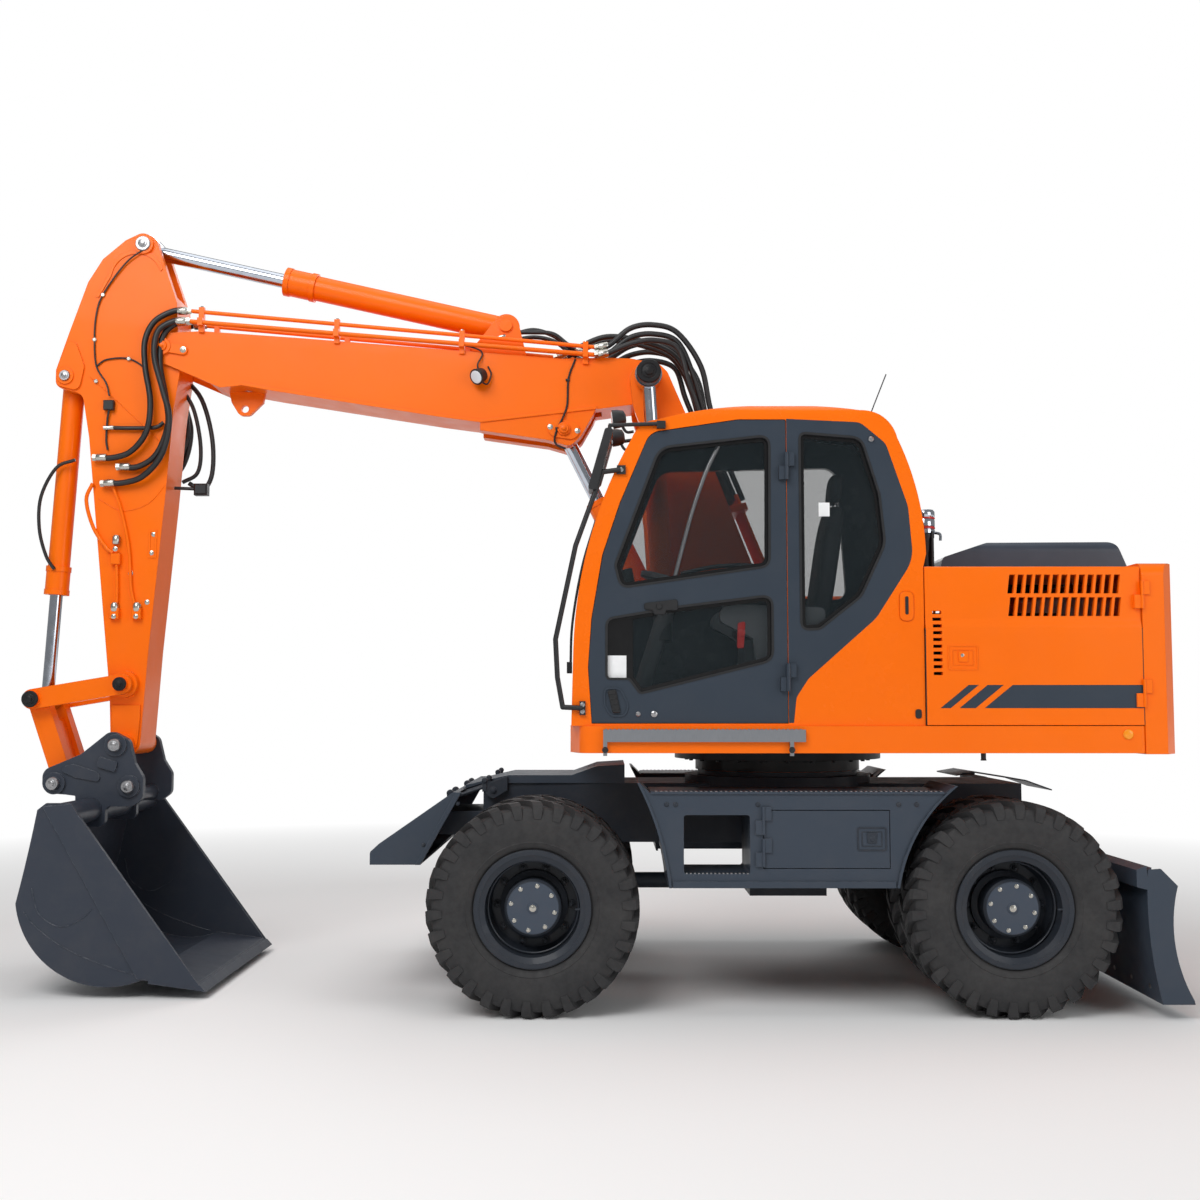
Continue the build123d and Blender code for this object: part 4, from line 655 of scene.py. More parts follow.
def dress_house():
    for side_name, sign in SIDES.items():
        latch = latch_pan((-0.882, 1.737), (-0.728, 1.864), PANEL_Y)
        lock = Form().turned(V(-0.8, PANEL_Y, 1.812), LEFT, [(0.012, 0.0), (0.012, 0.004), (0.009, 0.006),
            (0.004, 0.006)], 20)
        for name, look, form in (("hood_stripes", "door_grey", stripes()),
                                 ("hood_latch", "orange", latch), ("hood_lock", "zinc", lock)):
            form.across(sign).place(f"{name}_{side_name}", look, f"hood_door_{side_name}")
    Form().turned(V(-1.628, DECK_Y, 1.413), LEFT, [(0.026, 0.0), (0.026, 0.004), (0.022, 0.009),
        (0.01, 0.011)], 32).mirrored().place("side_reflectors", "amber", "upper")
    Form().turned(V(-0.928, 1.1, 1.318), (0, 0, -1), [(0.013, -0.02), (0.013, 0.034), (0.015, 0.036),
        (0.015, 0.041)], 16).place("drain_stub", "black", "upper")
    plug = Form()
    plug.plate(rect(-0.592, 1.492, -0.56, 1.54, 0.015), CAB_Y, CAB_Y + 0.006, 0.002)
    plug.plate(rect(-0.533, 2.02, -0.516, 2.112, 0.01), CAB_Y + 0.006, CAB_Y + 0.009, 0.001)
    plug.place("cab_plugs", "black", "upper")
    Form().plate(rect(-0.562, 1.985, -0.487, 2.14, 0.036), CAB_Y, CAB_Y + 0.006,
        0.004).place("side_latch_pad", "orange", "upper")
    seams = Form()
    for x in (-0.616, -1.716):
        seams.block((x - 0.002, 1.19, 1.46), (x + 0.002, 1.2145, 1.95), 0.0005)
    seams.mirrored().place("house_seals", "black", "upper")
    cover = Form()
    for x0 in (-1.02, -1.38):
        cover.plate([(x0, 2.285), (x0 - 0.27, 2.285), (x0 - 0.245, 2.318, 0.01), (x0 - 0.025, 2.318, 0.01)],
            0.64, 0.648, 0.002)
    cover.mirrored()
    for y in (-0.36, 0.0, 0.36):
        cover.plate([(-1.12, 2.452), (-1.77, 2.456), (-1.77, 2.4615), (-1.12, 2.4595)], y - 0.12, y + 0.12,
            0.0015)
    cover.place("cover_ribs", "cover", "hood_cover")


def dress_air_cleaner():
    spot = V(-0.77, 0.55, 0.0)
    base = Form()
    base.turned(spot, UP, [(0.062, 2.267), (0.062, 2.29), (0.04, 2.3), (0.036, 2.4), (0.044, 2.42),
        (0.044, 2.47), (0.052, 2.49), (0.052, 2.508)], 32)
    base.turned(spot + Vector((-0.03, 0.045, 0)), UP, [(0.01, 2.3), (0.01, 2.52)], 12)
    base.place("cleaner_duct", "black", "upper", stands_for=("air_cleaner",))
    bowl = Form()
    bowl.turned(spot, UP, [(0.046, 2.505), (0.0555, 2.512), (0.056, 2.53), (0.053, 2.534), (0.053, 2.548),
        (0.056, 2.552), (0.056, 2.585), (0.0535, 2.589), (0.0535, 2.602), (0.056, 2.606), (0.0555, 2.632),
        (0.048, 2.643), (0.02, 2.646)], 48)
    bowl.tube([spot + Vector((-0.05, 0.02, 2.515)), spot + Vector((-0.078, 0.03, 2.505)),
        spot + Vector((-0.08, 0.03, 2.47))], 0.008, 10)
    bowl.place("cleaner_bowl", "chrome", "upper")
    band = Form()
    for low, high in ((2.536, 2.548), (2.591, 2.601)):
        band.turned(spot, UP, [(0.0545, low), (0.057, low + 0.002), (0.057, high - 0.002), (0.0545, high)],
            48, True)
    band.place("cleaner_bands", "red", "upper")


def dress_deck():
    """Black slewing ring shroud, step bolts and the tread of the step plate."""
    ring = Form()
    for r0, r1, z0, z1 in ((0.594, 0.6, 1.254, 1.3175), (0.468, 0.478, 1.188, 1.254)):
        ring.turned(V(0, 0, 0), UP, [(r0, z0), (r1, z0), (r1, z1), (r0, z1)], 72, True)
    for i in range(RING_BOLTS):
        a = math.tau * i / RING_BOLTS
        ring.bolt(V(math.cos(a) * RING_BOLT_R, math.sin(a) * RING_BOLT_R, 1.2545), (0, 0, -1), 0.012, 0.014)
    ring.place("ring_shroud", "black_paint", "upper")
    knob = Form()
    for x in (0.07, 1.01):
        knob.bolt(V(x, 1.2445, 1.335), LEFT, 0.011, 0.005)
    knob.place("step_bolts", "black", "upper")
    tread = Form()
    for i in range(46):
        x = 0.02 + i * 0.0218
        tread.block((x, 1.2225, 1.4365), (x + 0.01, 1.2435, 1.4405), 0.0008)
    tread.place("step_tread", "silver", "upper")


# Cab
UPPER_GLASS = [(0.165, 2.262, 0.06), (0.16, 2.95, 0.06), (0.735, 2.885, 0.11), (0.965, 2.275, 0.06),
               (0.935, 2.15, 0.06)]
LOWER_GLASS = [(0.152, 1.782, 0.07), (0.152, 2.126, 0.06), (0.651, 2.064), (1.009, 2.003, 0.05),
               (1.009, 1.687, 0.03), (0.89, 1.687, 0.02), (0.835, 1.612, 0.03)]
QUARTER_GLASS = [(0.018, 2.963, 0.04), (0.018, 1.935, 0.06), (-0.086, 1.941, 0.06), (-0.3, 2.11, 0.12),
                 (-0.426, 2.38, 0.15), (-0.4, 2.64, 0.2), (-0.31, 2.935, 0.08)]
GLASS_Y = 1.181
SEAT_Y = 0.8005


def window_trim(name, outline, body):
    Form().band(outline, 0.012, GLASS_Y, CAB_Y + 0.0015).place(f"{name}_seal", "black", body)
    Form().band(outline, 0.03, GLASS_Y + 0.0004, GLASS_Y + 0.001).place(f"{name}_border", "gloss_black", body)


def dress_cab_door():
    window_trim("door_upper", UPPER_GLASS, "cab_door")
    window_trim("door_lower", LOWER_GLASS, "cab_door")
    Form().plate([(0.868, 1.64), (0.868, 2.02), (1.003, 1.998, 0.04), (1.003, 1.693, 0.02), (0.893, 1.693)],
        GLASS_Y + 0.0004, GLASS_Y + 0.002, 0.0005).place("door_dark_panel", "gloss_black", "cab_door")
    Form().plate(rect(0.902, 1.698, 0.998, 1.812), GLASS_Y + 0.002, GLASS_Y + 0.0028,
        0.0002).place("blank_label", "white", "cab_door")
    grip = Form()
    grip.plate([(0.64, 2.04, 0.012), (0.7, 2.04), (0.706, 2.018, 0.01), (0.762, 2.018, 0.01), (0.768, 2.04),
        (0.812, 2.046, 0.012), (0.812, 2.078, 0.015), (0.64, 2.098, 0.015)], CAB_Y, CAB_Y + 0.012, 0.004)
    grip.turned(V(0.735, CAB_Y + 0.01, 2.06), LEFT, [(0.016, 0.0), (0.016, 0.006), (0.012, 0.01)], 20)
    grip.place("door_grip", "black", "cab_door")
    Form().band([(0.888, 1.56, 0.05), (0.905, 1.5, 0.05), (0.985, 1.5, 0.05), (1.018, 1.56, 0.05),
        (1.018, 1.65, 0.03), (0.93, 1.65, 0.05)], 0.01, CAB_Y, CAB_Y + 0.005).place("handle_rim", "door_grey",
        "cab_door")
    lever = Form()
    lever.plate([(0.93, 1.52, 0.012), (0.972, 1.52, 0.012), (1.0, 1.632, 0.012), (0.955, 1.64, 0.012)],
        CAB_Y + 0.0005, CAB_Y + 0.014, 0.004)
    for i in range(4):
        z = 1.538 + i * 0.026
        lever.plate([(0.94 + i * 0.006, z), (0.975 + i * 0.006, z - 0.004), (0.977 + i * 0.006, z + 0.006),
            (0.942 + i * 0.006, z + 0.01)], CAB_Y + 0.014, CAB_Y + 0.018, 0.001)
    lever.place("door_handle", "black", "cab_door")
    studs = Form()
    for x, radius in ((0.843, 0.012), (0.762, 0.016)):
        studs.turned(V(x, CAB_Y, 1.515), LEFT, [(radius, 0.0), (radius, 0.005), (radius * 0.6, 0.009)], 24)
    studs.place("door_studs", "steel", "cab_door")
    Form().tube([V(0.425, 1.15, 2.897), V(0.49, 1.152, 2.76), V(0.56, 1.153, 2.56), V(0.62, 1.153, 2.34),
        V(0.669, 1.153, 2.147)], 0.011).place("door_bar", "steel", "cab_door")
    Form().tube([V(0.13, 1.135, 2.2), V(0.2, 1.13, 2.27), V(0.42, 1.13, 2.275), V(0.62, 1.135, 2.235)],
        0.011).place("inner_pull", "black", "cab_door")


def dress_cab():
    window_trim("quarter", QUARTER_GLASS, "upper")
    plate = Form()
    plate.plate(rect(-0.142, 2.526, -0.086, 2.597), GLASS_Y + 0.0004, GLASS_Y + 0.0012, 0.0002)
    plate.place("blank_plate", "white", "upper")
    Form().block((0.081, 1.16, 1.48), (0.083, 1.192, 3.018), 0.0005).place("door_seal", "black", "upper")
    catch = Form()
    catch.turned(V(-0.355, CAB_Y, 2.922), LEFT, [(0.014, 0.0), (0.014, 0.008), (0.008, 0.014)], 20)
    for spot in run(CAB_Y + 0.017, (1.125, 1.562), (1.125, 1.528), (0.928, 2.762)):
        catch.bolt(spot, LEFT, 0.008, 0.008)
    catch.place("cab_fixings", "steel", "upper")
    Form().plate([(1.06, 2.69, 0.02), (1.009, 2.95, 0.02), (1.003, 2.95, 0.02), (1.054, 2.69, 0.02)], 1.075,
        1.235, 0.001).place("mirror_glass", "chrome", "upper")
    roof_lamp(V(0.93, 1.06, 3.02), "left")
    roof_lamp(V(0.93, 0.54, 3.02), "right")
    wiper = Form()
    wiper.tube([V(1.196, 0.8, 1.76), V(1.186, 0.8, 2.0), V(1.135, 0.79, 2.3), V(1.06, 0.78, 2.56)], 0.007)
    wiper.block((1.188, 0.76, 1.73), (1.215, 0.84, 1.79), 0.004)
    wiper.place("wiper", "black", "upper")
    aerial = Form()
    aerial.tube(run(0.5, (-0.445, 3.085), (-0.5, 3.23), (-0.578, 3.425)), 0.0035, 8)
    aerial.turned(V(-0.43, 0.5, 3.035), UP, [(0.024, 0.0), (0.024, 0.035), (0.016, 0.05), (0.012, 0.075)], 20)
    aerial.place("aerial", "black", "upper")
    bracket = Form()
    bracket.block((-0.52, 0.42, 3.065), (-0.38, 0.44, 3.082), 0.002)
    bracket.tube(run(0.43, (-0.39, 3.075), (-0.46, 3.11), (-0.54, 3.105)), 0.008)
    bracket.turned(V(-0.54, 0.43, 3.09), UP, [(0.014, 0.0), (0.014, 0.04)], 16)
    bracket.place("roof_bracket", "steel", "upper")


def roof_lamp(spot, side_name):
    shell = Form()
    shell.turned(spot + Vector((0.03, 0, 0.035)), (1, 0, -0.12), [(0.018, -0.06), (0.04, -0.05),
        (0.048, -0.02), (0.05, 0.01), (0.046, 0.012)], 28)
    shell.tube([spot + Vector((0.0, 0, 0.02)), spot + Vector((-0.03, 0, -0.03)),
        spot + Vector((-0.07, 0, -0.03))], 0.008, 10)
    shell.place(f"roof_lamp_{side_name}", "black", "upper")
    Form().turned(spot + Vector((0.03, 0, 0.035)), (1, 0, -0.12), [(0.044, 0.01), (0.04, 0.015),
        (0.015, 0.018)], 28).place(f"roof_lens_{side_name}", "lens", "upper")


def pillow(low, high, lean=0.0, power=4.5, cuts=8, seams=3, depth=0.006):
    """Crowned cushion with sewn channels across it; lean shifts its top backwards."""
    middle = (Vector(low) + Vector(high)) / 2
    half = (Vector(high) - Vector(low)) / 2
    shape = bmesh.new()
    bmesh.ops.create_cube(shape, size=2.0)
    bmesh.ops.subdivide_edges(shape, edges=shape.edges, cuts=cuts, use_grid_fill=True)
    points, faces = [], []
    for vert in shape.verts:
        p = vert.co
        size = (abs(p.x) ** power + abs(p.y) ** power + abs(p.z) ** power) ** (1 / power)
        q = p / size
        pinch = 1 - depth * 10 * max(0.0, math.cos(q.y * math.pi * seams)) ** 12
        spot = Vector((q.x * half.x * pinch, q.y * half.y, q.z * half.z * pinch))
        points.append(middle + spot + Vector((-lean * (q.z + 1) / 2, 0, 0)))
    for face in shape.faces:
        faces.append(tuple(vert.index for vert in face.verts))
    shape.free()
    return points, faces


def dress_seat():
    seat = Form()
    for x0, x1, half, z0, z1, lean in ((-0.145, 0.325, 0.225, 1.903, 2.018, 0.0),
                                       (-0.175, -0.07, 0.205, 1.985, 2.62, 0.095),
                                       (-0.25, -0.185, 0.11, 2.64, 2.795, 0.018)):
        points, faces = pillow(V(x0, SEAT_Y - half, z0), V(x1, SEAT_Y + half, z1), lean)
        start = len(seat.points)
        seat.points += points
        seat.faces += [tuple(start + i for i in face) for face in faces]
    made = seat.place("seat_pads", "seat", "upper", stands_for=("seat_cushions",), angle=60)
    smooth = made.modifiers.new("soft", "SUBSURF")
    smooth.levels = 1
    smooth.render_levels = 1
    posts = Form()
    for y in (SEAT_Y - 0.05, SEAT_Y + 0.05):
        posts.tube(run(y, (-0.245, 2.6), (-0.222, 2.66)), 0.007, 10)
    posts.place("headrest_posts", "steel", "upper")
    belt = Form()
    belt.plate([(0.3, 1.85, 0.01), (0.335, 1.85, 0.01), (0.33, 1.98, 0.012), (0.29, 1.99, 0.012)], 1.135,
        1.15, 0.003)
    belt.turned(V(0.312, 1.15, 1.93), LEFT, [(0.02, -0.03), (0.02, 0.006), (0.012, 0.01)], 20)
    belt.place("safety_lever", "red", "upper")
    knobs = Form()
    for y in (SEAT_Y - 0.295, SEAT_Y + 0.295):
        knobs.turned(V(0.322, y, 2.185), UP, [(0.014, 0.0), (0.022, 0.02), (0.026, 0.06), (0.022, 0.09),
            (0.01, 0.1)], 20)
        knobs.tube(run(y, (0.3, 2.075), (0.325, 2.13), (0.322, 2.19)), 0.013, 12)
    knobs.place("lever_grips", "black", "upper")
    screen = Form()
    screen.plate([(0.83, 2.18, 0.01), (0.95, 2.14, 0.01), (0.975, 2.3, 0.01), (0.86, 2.33, 0.01)], 0.47, 0.5,
        0.004)
    screen.tube(run(0.485, (0.88, 1.55), (0.9, 1.9), (0.89, 2.2)), 0.014, 12)
    screen.place("gauge_panel", "black", "upper")
    column = Form()
    column.tube([V(0.7, SEAT_Y, 1.9), V(0.7, SEAT_Y - 0.02, 2.06), V(0.69, SEAT_Y - 0.04, 2.12)], 0.05, 16)
    column.tube([V(0.655, SEAT_Y + 0.03, 2.165), V(0.66, SEAT_Y + 0.1, 2.17), V(0.7, SEAT_Y + 0.16, 2.18)],
        0.007, 10)
    column.place("column_cover", "black", "upper")


# Undercarriage
BOX_Y = 1.1995
LOCKER_Y = 1.202


def dress_undercarriage():
    for side_name, sign in SIDES.items():
        form = latch_pan((-0.407, 0.828), (-0.258, 0.948), LOCKER_Y)
        form.turned(V(-0.335, LOCKER_Y, 0.888), LEFT, [(0.014, 0.0), (0.014, 0.006), (0.01, 0.009)], 20)
        form.across(sign).place(f"locker_latch_{side_name}", "frame_grey", f"locker_door_{side_name}")
    grating = Form()
    for i in range(58):
        x = -0.69 + i * 0.0252
        grating.block((x, 1.15, 1.1235), (x + 0.012, 1.206, 1.1275), 0.001)
    grating.mirrored().place("box_tread", "steel", "undercarriage")
    rungs = Form()
    for i in range(16):
        x = 0.288 + i * 0.0205
        rungs.block((x, 1.165, 0.7125), (x + 0.009, 1.199, 0.718), 0.001)
    rungs.mirrored().place("step_teeth", "steel", "undercarriage")
    bolts = Form()
    for x in (-0.56, -0.47, 0.24, 0.655, 0.7):
        bolts.bolt(V(x, BOX_Y, 1.06), LEFT, 0.009, 0.008)
    for x in (1.79, 1.88, 1.97):
        bolts.bolt(V(x, 0.8495, 1.04 - (x - 1.79) * 1.2), LEFT, 0.008, 0.007)
    bolts.mirrored().place("box_bolts", "frame_grey", "undercarriage")
    hooks = Form()
    for y in (0.34, 0.62):
        hooks.block((1.838, y - 0.016, 1.03), (1.872, y + 0.016, 1.082), 0.003)
        hooks.turned(V(1.855, y - 0.024, 1.082), LEFT, [(0.012, 0.0), (0.019, 0.008), (0.019, 0.04),
            (0.012, 0.048)], 20)
        hooks.block((1.655, y - 0.014, 1.09), (1.68, y + 0.014, 1.15), 0.003)
        hooks.turned(V(1.667, y - 0.02, 1.15), LEFT, [(0.01, 0.0), (0.016, 0.006), (0.016, 0.034),
            (0.01, 0.04)], 20)
        hooks.tube(run(y, (1.845, 1.06), (1.775, 1.08), (1.672, 1.115)), 0.01, 10)
    hooks.mirrored().place("guard_hooks", "frame_grey", "undercarriage")
    brace = Form()
    brace.plate([(1.56, 1.16), (1.66, 1.128), (1.69, 1.06, 0.02), (1.64, 1.03, 0.02), (1.56, 1.08)], 0.335,
        0.355, 0.003)
    brace.bolt(V(1.64, 0.355, 1.08), LEFT, 0.014)
    brace.mirrored().place("cover_stays", "frame_grey", "undercarriage")
    lines = Form()
    for y in (-0.08, 0.0, 0.08):
        lines.tube([V(-0.2, y, 0.47), V(-0.45, y, 0.66), V(-0.6, y + 0.02, 0.74), V(-0.85, y, 0.765)], 0.014)
    lines.place("brake_lines", "hose", "undercarriage")
    edge = Form()
    for i in range(10):
        y = -1.125 + i * 0.25
        edge.bolt(V(-1.7475, y, 0.15), (1, 0, 0), 0.014, 0.012)
    edge.place("blade_bolts", "steel", "blade")


# Booms, arm and tools
ELBOW = (0.76, 3.46)
ARM_Y = 0.1395
BUCKET_Y = 0.75
BUCKET_WALL = 0.02
HOSE_R = 0.0165
ARM_HOSE_R = 0.0175
LOOP_R = 0.013
FOOT_HOSES = 8
FOOT_PITCH = 0.0457


def pin_cap(form, x, z, y, radius, height=0.012):
    form.turned(V(x, y, z), LEFT, [(radius, 0.0), (radius, height * 0.6), (radius * 0.9, height)], 32)
    form.bolt(V(x, y + height, z), LEFT, radius * 0.42, radius * 0.32)


def dress_pins():
    cap = Form()
    cap.turned(V(ELBOW[0], 0.0, ELBOW[1]), LEFT, [(0.0685, 0.376), (0.0695, 0.38), (0.0695, 0.444),
        (0.064, 0.4495), (0.046, 0.4495), (0.044, 0.446), (0.02, 0.446)], 48)
    cap.bolt(V(ELBOW[0], 0.4455, ELBOW[1]), LEFT, 0.026, 0.016)
    cap.mirrored().place("elbow_caps", "black_paint", "lift_rods")
    sets = {
        ("arm", "steel"): [(3.758, 4.298, 0.1575, 0.044), (4.2, 3.501, 0.1635, 0.032)],
        ("arm", "black_paint"): [(3.8, 1.681, 0.2575, 0.04)],
        ("guide_links", "black_paint"): [(4.312, 1.595, 0.2575, 0.048)],
        ("bucket", "steel"): [(4.144, 1.116, 0.3235, 0.036), (3.719, 1.099, 0.3235, 0.036),
                              (3.799, 1.333, 0.3235, 0.036)],
        ("upper_boom", "orange"): [(3.624, 3.674, 0.1845, 0.03), (1.252, 3.178, 0.1885, 0.03)],
        ("deck_foot", "orange"): [(0.15, 1.85, 0.2825, 0.05)],
    }
    for (body, look), spots in sets.items():
        form = Form()
        for x, z, y, radius in spots:
            pin_cap(form, x, z, y, radius)
        form.mirrored().place(f"pin_caps_{body}_{look}", look, "upper" if body == "deck_foot" else body)
    nuts = Form()
    for x, z in ((1.172, 3.166), (1.332, 3.19)):
        nuts.bolt(V(x, 0.1745, z), LEFT, 0.011)
    nuts.bolt(V(3.5, 0.1785, 3.652), LEFT, 0.013)
    for x in (3.395, 2.593, 1.854, 1.125):
        z = 3.666 + (x - 1.06) * 0.0917 + 0.024
        nuts.bolt(V(x, 0.168, z), UP, 0.009, 0.01)
    nuts.mirrored().place("boom_bolts", "zinc", "upper_boom")


def ferrule(form, a, b, radius):
    """Crimped hose end with its hexagon, from a towards b."""
    a, b = Vector(a), Vector(b)
    way = (b - a).normalized()
    form.turned(a, way, [(radius * 0.8, -0.02), (radius * 1.25, -0.018), (radius * 1.25, 0.004)], 6)
    form.turned(a, way, [(radius * 1.1, 0.004), (radius * 1.32, 0.01), (radius * 1.32, 0.058),
        (radius * 1.1, 0.064)], 20)


def ferrules(routes, radius, ends):
    """Hose ends of a set: 0 in ends asks for those at the start, -1 for those at the finish."""
    form = Form()
    for route in routes:
        for end in ends:
            ferrule(form, route[end], route[-2 if end else 1], radius)
    return form


def hose_set(name, routes, radius, body, bend=None):
    """Hoses along given routes."""
    hoses = Form()
    for route in routes:
        hoses.tube(route, radius, 14, 8)
    hoses.place(name, "hose", body, bend)


def dress_boom_hoses():
    arch = []
    for y, z, top, back in ((0.168, 3.667, 3.8, 0.4), (0.168, 3.62, 3.745, 0.445),
                            (0.198, 3.616, 3.7, 0.475)):
        for sign in (1, -1):
            lift = 0.0 if sign > 0 else -0.025
            arch.append([V(1.055, y * sign, z), V(0.985, y * sign, z + 0.012),
                V(0.86, y * sign, top - 0.02 + lift), V(0.72, y * sign, top + lift),
                V(0.58, y * sign, top - 0.05 + lift), V(back + 0.045, y * sign, top - 0.25),
                V(back - 0.01, y * sign * 0.92, 3.3), V(back - 0.095, y * sign * 0.85, 3.02),
                V(back - 0.2, y * sign * 0.8, 2.76)])
    for y in (-0.05, 0.05):
        arch.append(run(y, (1.3, 3.64), (1.18, 3.69), (1.0, 3.76), (0.78, 3.73), (0.59, 3.64), (0.48, 3.43),
            (0.4, 3.18), (0.24, 2.76)))
    hose_set("elbow_hoses", arch, HOSE_R, "lower_boom", ("upper_boom", V(0.4, 0, 3.18), V(1.05, 0, 3.66)))
    ferrules(arch, HOSE_R, (0,)).place("elbow_ferrules", "zinc", "upper_boom")
    pipes, foot = Form(), []
    for i in range(FOOT_HOSES):
        y = -0.16 + i * FOOT_PITCH
        pipes.tube(run(y, (0.245, 2.79), (0.1, 2.43), (-0.035, 2.12), (-0.075, 1.95)), 0.013, 10, 4)
        foot.append(run(y, (-0.075, 1.955), (-0.12, 1.84), (-0.23, 1.7), (-0.36, 1.58), (-0.42, 1.47)))
    for x, z in ((0.215, 2.72), (0.045, 2.3)):
        pipes.plate([(x - 0.04, z - 0.02), (x + 0.055, z - 0.04), (x + 0.07, z), (x - 0.025, z + 0.02)], -0.2,
            0.2, 0.003)
    pipes.place("lower_boom_pipes", "orange", "lower_boom")
    hose_set("foot_hoses", foot, HOSE_R, "upper", ("lower_boom", V(-0.4, 0, 1.5), V(-0.075, 0, 1.95)))
    loops = []
    for y, top in ((0.055, 3.8), (0.095, 3.775), (-0.075, 3.79)):
        loops.append([V(1.66, y, 3.735), V(1.56, y, 3.77), V(1.44, y, top), V(1.32, y, 3.765),
            V(1.23, y, 3.7), V(1.13, y * 1.3, 3.64)])
    hose_set("base_loops", loops, LOOP_R, "upper_boom")
    ferrules(loops, LOOP_R, (0, -1)).place("loop_ferrules", "zinc", "upper_boom")
    cable = Form()
    cable.tube([V(1.185, 0.17, 3.595), V(1.225, 0.171, 3.48), V(1.232, 0.171, 3.33), V(1.255, 0.181, 3.25),
        V(1.3, 0.181, 3.15), V(1.3, 0.176, 3.09), V(1.24, 0.172, 3.06)], 0.006, 10)
    cable.tube([V(1.9, 0.196, 3.69), V(1.74, 0.18, 3.64), V(1.76, 0.186, 3.56), V(1.752, 0.186, 3.52)], 0.005,
        10)
    for x, y, z in ((1.23, 0.171, 3.47), (1.29, 0.181, 3.18)):
        cable.block((x - 0.012, y - 0.008, z - 0.006), (x + 0.012, y + 0.008, z + 0.006), 0.002)
    cable.place("boom_cable", "black", "upper_boom")
    lamp = Form()
    spot, way = V(1.752, 0.235, 3.478), (0.55, 0.75, -0.45)
    lamp.turned(spot, way, [(0.02, -0.045), (0.04, -0.038), (0.046, -0.005), (0.048, 0.018), (0.044, 0.02)],
        24)
    lamp.tube([V(1.752, 0.166, 3.52), V(1.752, 0.195, 3.52), V(1.752, 0.222, 3.492)], 0.01, 10)
    lamp.tube([V(1.7, 0.17, 3.55), V(1.68, 0.19, 3.5), V(1.7, 0.2, 3.44), V(1.735, 0.21, 3.45)], 0.005, 10)
    lamp.place("boom_lamp", "black", "upper_boom")
    Form().turned(spot, way, [(0.042, 0.017), (0.036, 0.022), (0.012, 0.024)], 24).place("boom_lens", "lens",
        "upper_boom")


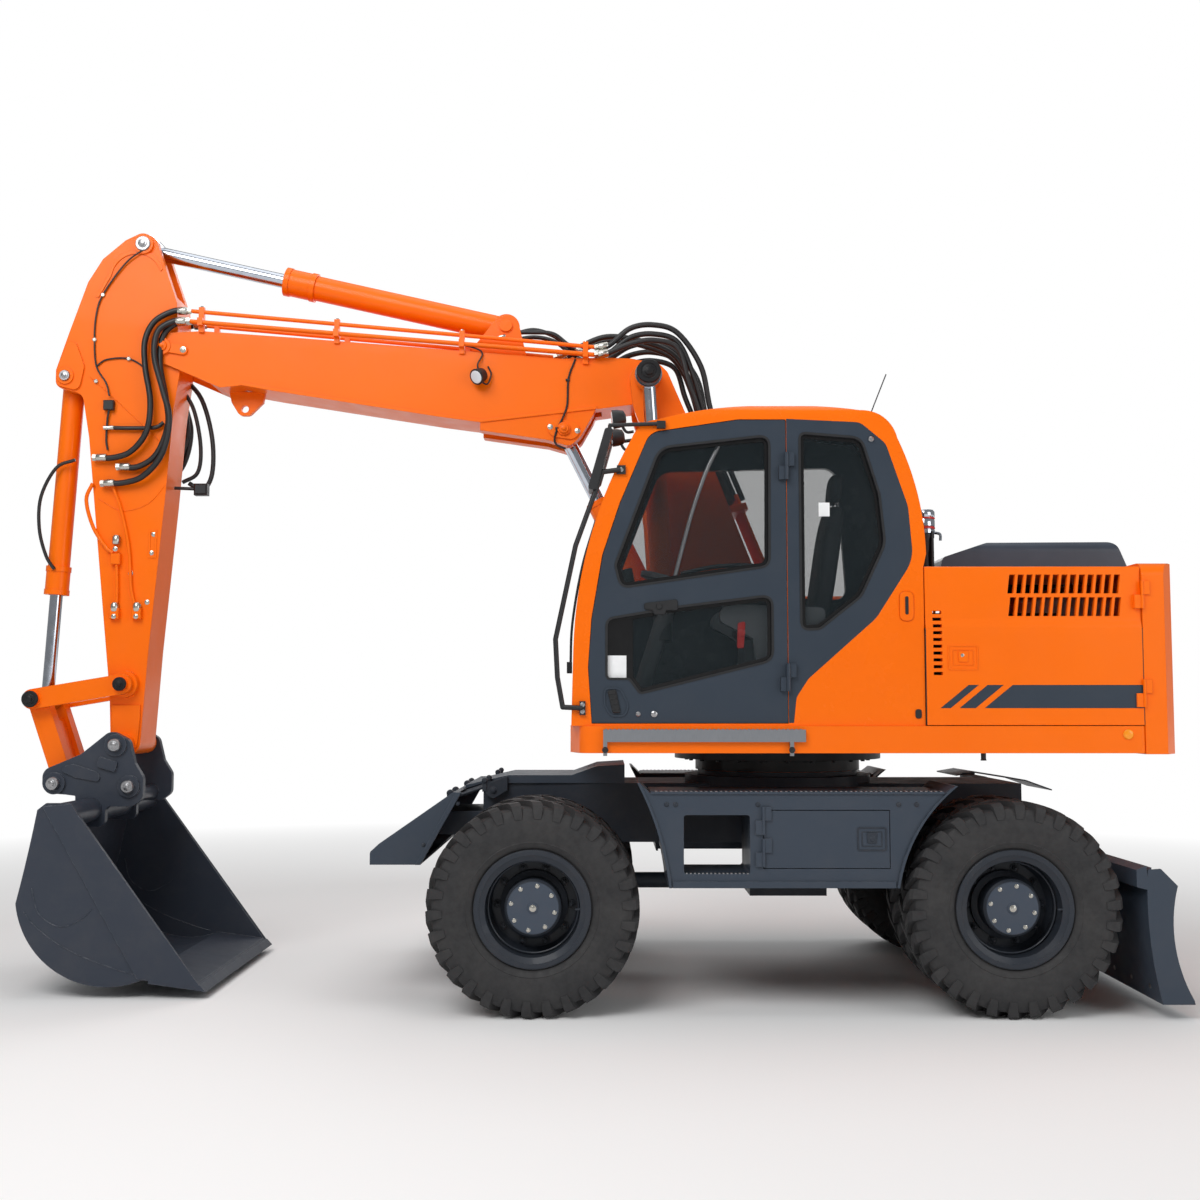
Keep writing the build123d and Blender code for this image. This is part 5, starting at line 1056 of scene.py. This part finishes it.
def dress_arm_hoses():
    near = [
        [V(3.475, 0.168, 3.887), V(3.56, 0.172, 3.885), V(3.67, 0.182, 3.82), V(3.722, 0.19, 3.7),
         V(3.715, 0.195, 3.54), V(3.68, 0.198, 3.34), V(3.7, 0.195, 3.16), V(3.79, 0.185, 3.045),
         V(3.9, 0.176, 3.008), V(4.0, 0.172, 3.01)],
        [V(3.475, 0.198, 3.818), V(3.55, 0.205, 3.815), V(3.64, 0.214, 3.75), V(3.655, 0.22, 3.6),
         V(3.6, 0.222, 3.4), V(3.56, 0.218, 3.23), V(3.6, 0.208, 3.03), V(3.71, 0.192, 2.9),
         V(3.83, 0.178, 2.86), V(3.95, 0.172, 2.857)],
        [V(3.475, 0.168, 3.822), V(3.54, 0.172, 3.815), V(3.62, 0.18, 3.73), V(3.63, 0.19, 3.56),
         V(3.59, 0.195, 3.36), V(3.575, 0.192, 3.2), V(3.64, 0.184, 3.03), V(3.75, 0.176, 2.955),
         V(3.86, 0.171, 2.955)],
    ]
    far = [other_side(route) for route in near]
    bend = ("arm", V(3.52, 0, 3.86), V(3.68, 0, 3.2))
    hose_set("arm_hoses", near + far, ARM_HOSE_R, "upper_boom", bend)
    ferrules(near + far, ARM_HOSE_R, (0,)).place("arm_hose_starts", "zinc", "upper_boom")
    aft = ferrules(near + far, ARM_HOSE_R, (-1,))
    aft.turned(V(3.96, 0.165, 3.188), (-1, 0, 0), [(0.014, 0.0), (0.014, 0.055), (0.011, 0.06)], 16)
    aft.place("arm_hose_ends", "zinc", "arm")
    cross = Form()
    cross.tube([V(3.905, 0.165, 3.188), V(3.8, 0.165, 3.186), V(3.66, 0.166, 3.19), V(3.61, 0.16, 3.22)],
        0.012)
    cross.tube([V(3.59, -0.12, 3.56), V(3.47, -0.12, 3.42), V(3.4, -0.118, 3.18), V(3.395, -0.115, 2.96),
        V(3.45, -0.11, 2.86), V(3.53, -0.1, 2.9)], 0.014)
    cross.tube(run(-0.07, (3.58, 3.48), (3.5, 3.34), (3.455, 3.12), (3.47, 2.96), (3.56, 2.9)), 0.012)
    cross.tube([V(4.15, 0.095, 3.01), V(4.26, 0.1, 2.96), V(4.345, 0.1, 2.79), V(4.35, 0.1, 2.6),
        V(4.31, 0.09, 2.44), V(4.262, 0.08, 2.36)], 0.01)
    cross.place("arm_small_hoses", "hose", "arm")
    wires = Form()
    wires.tube([V(3.74, 0.162, 4.27), V(3.86, 0.154, 4.18), V(3.992, 0.15, 3.99), V(4.03, 0.149, 3.86),
        V(4.035, 0.149, 3.715), V(4.02, 0.149, 3.56), V(3.96, 0.15, 3.46), V(3.935, 0.16, 3.38)], 0.005, 10)
    wires.tube([V(4.02, 0.147, 3.56), V(3.96, 0.147, 3.6), V(3.829, 0.147, 3.605), V(3.73, 0.147, 3.54),
        V(3.7, 0.15, 3.44)], 0.005, 10)
    wires.block((3.905, 0.141, 3.295), (3.965, 0.178, 3.352), 0.004)
    wires.tube([V(3.935, 0.16, 3.3), V(3.945, 0.155, 3.23), V(3.95, 0.15, 3.12), V(3.94, 0.15, 3.06)], 0.006,
        10)
    wires.place("arm_wires", "black", "arm")
    clips = Form()
    for x, z in ((3.992, 3.99), (4.035, 3.72), (3.829, 3.605), (4.02, 3.47)):
        clips.turned(V(x, 0.14, z), LEFT, [(0.012, 0.0), (0.012, 0.014), (0.008, 0.017)], 16)
    for x, z in ((3.66, 2.56), (3.672, 2.45), (3.69, 2.16), (3.79, 2.33)):
        clips.bolt(V(x, ARM_Y, z), LEFT, 0.01)
    clips.mirrored().place("arm_clips", "zinc", "arm")
    pipes = Form()
    pipes.tube(run(0.158, (4.02, 2.86), (4.055, 2.76), (4.01, 2.6), (3.93, 2.48), (3.89, 2.45)), 0.011)
    pipes.tube(run(0.156, (3.905, 2.85), (3.85, 2.7), (3.8, 2.48), (3.78, 2.24), (3.745, 2.11)), 0.009)
    pipes.tube(run(0.158, (3.87, 2.42), (3.862, 2.26), (3.862, 2.12)), 0.009)
    for x, z in ((3.845, 2.38), (3.845, 2.06), (3.715, 2.06)):
        pipes.block((x, ARM_Y, z), (x + 0.055, 0.175, z + 0.065), 0.004)
    pipes.band(rect(3.64, 2.42, 3.69, 2.585), 0.012, ARM_Y, 0.144)
    pipes.place("arm_pipes", "orange", "arm")
    valves = Form()
    for x, z in ((3.872, 2.5), (3.872, 2.105), (3.742, 2.105)):
        valves.turned(V(x, 0.158, z), UP, [(0.02, 0.0), (0.024, 0.008), (0.024, 0.04), (0.016, 0.052)], 20)
        valves.bolt(V(x, 0.175, z - 0.03), LEFT, 0.01)
    valves.place("arm_valves", "zinc", "arm")
    rear = Form()
    rear.block((3.385, -0.04, 2.81), (3.465, 0.03, 2.88), 0.01)
    rear.tube(run(0.0, (3.47, 2.85), (3.585, 2.855)), 0.01)
    rear.place("rear_lamp", "black", "arm")
    welds = Form()
    for route in (run(0.1405, (4.06, 3.5), (3.88, 3.34), (3.7, 3.17), (3.6, 3.08)),
                  run(0.1405, (3.99, 2.77), (3.85, 2.7), (3.7, 2.74), (3.6, 2.85))):
        welds.tube(route, 0.0035, 8)
    welds.mirrored().place("arm_welds", "orange", "arm")
    beads = Form()
    inner = run(BUCKET_Y, (4.075, 0.584), (4.032, 0.449), (3.914, 0.38), (3.796, 0.428), (3.753, 0.471))
    heel = run(BUCKET_Y, (4.114, 0.459), (4.058, 0.391), (3.953, 0.307), (3.811, 0.231), (3.631, 0.164),
        (3.52, 0.132))
    for route in (inner, heel):
        beads.tube(route, 0.0035, 8, 8)
        beads.tube([Vector((p.x, p.y - BUCKET_WALL, p.z)) for p in route], 0.0035, 8, 8)
    beads.mirrored().place("bucket_welds", "bucket", "bucket")


for dress in (dress_wheels, dress_house, dress_air_cleaner, dress_deck, dress_cab_door, dress_cab, dress_seat,
              dress_undercarriage, dress_pins, dress_boom_hoses, dress_arm_hoses):
    dress()
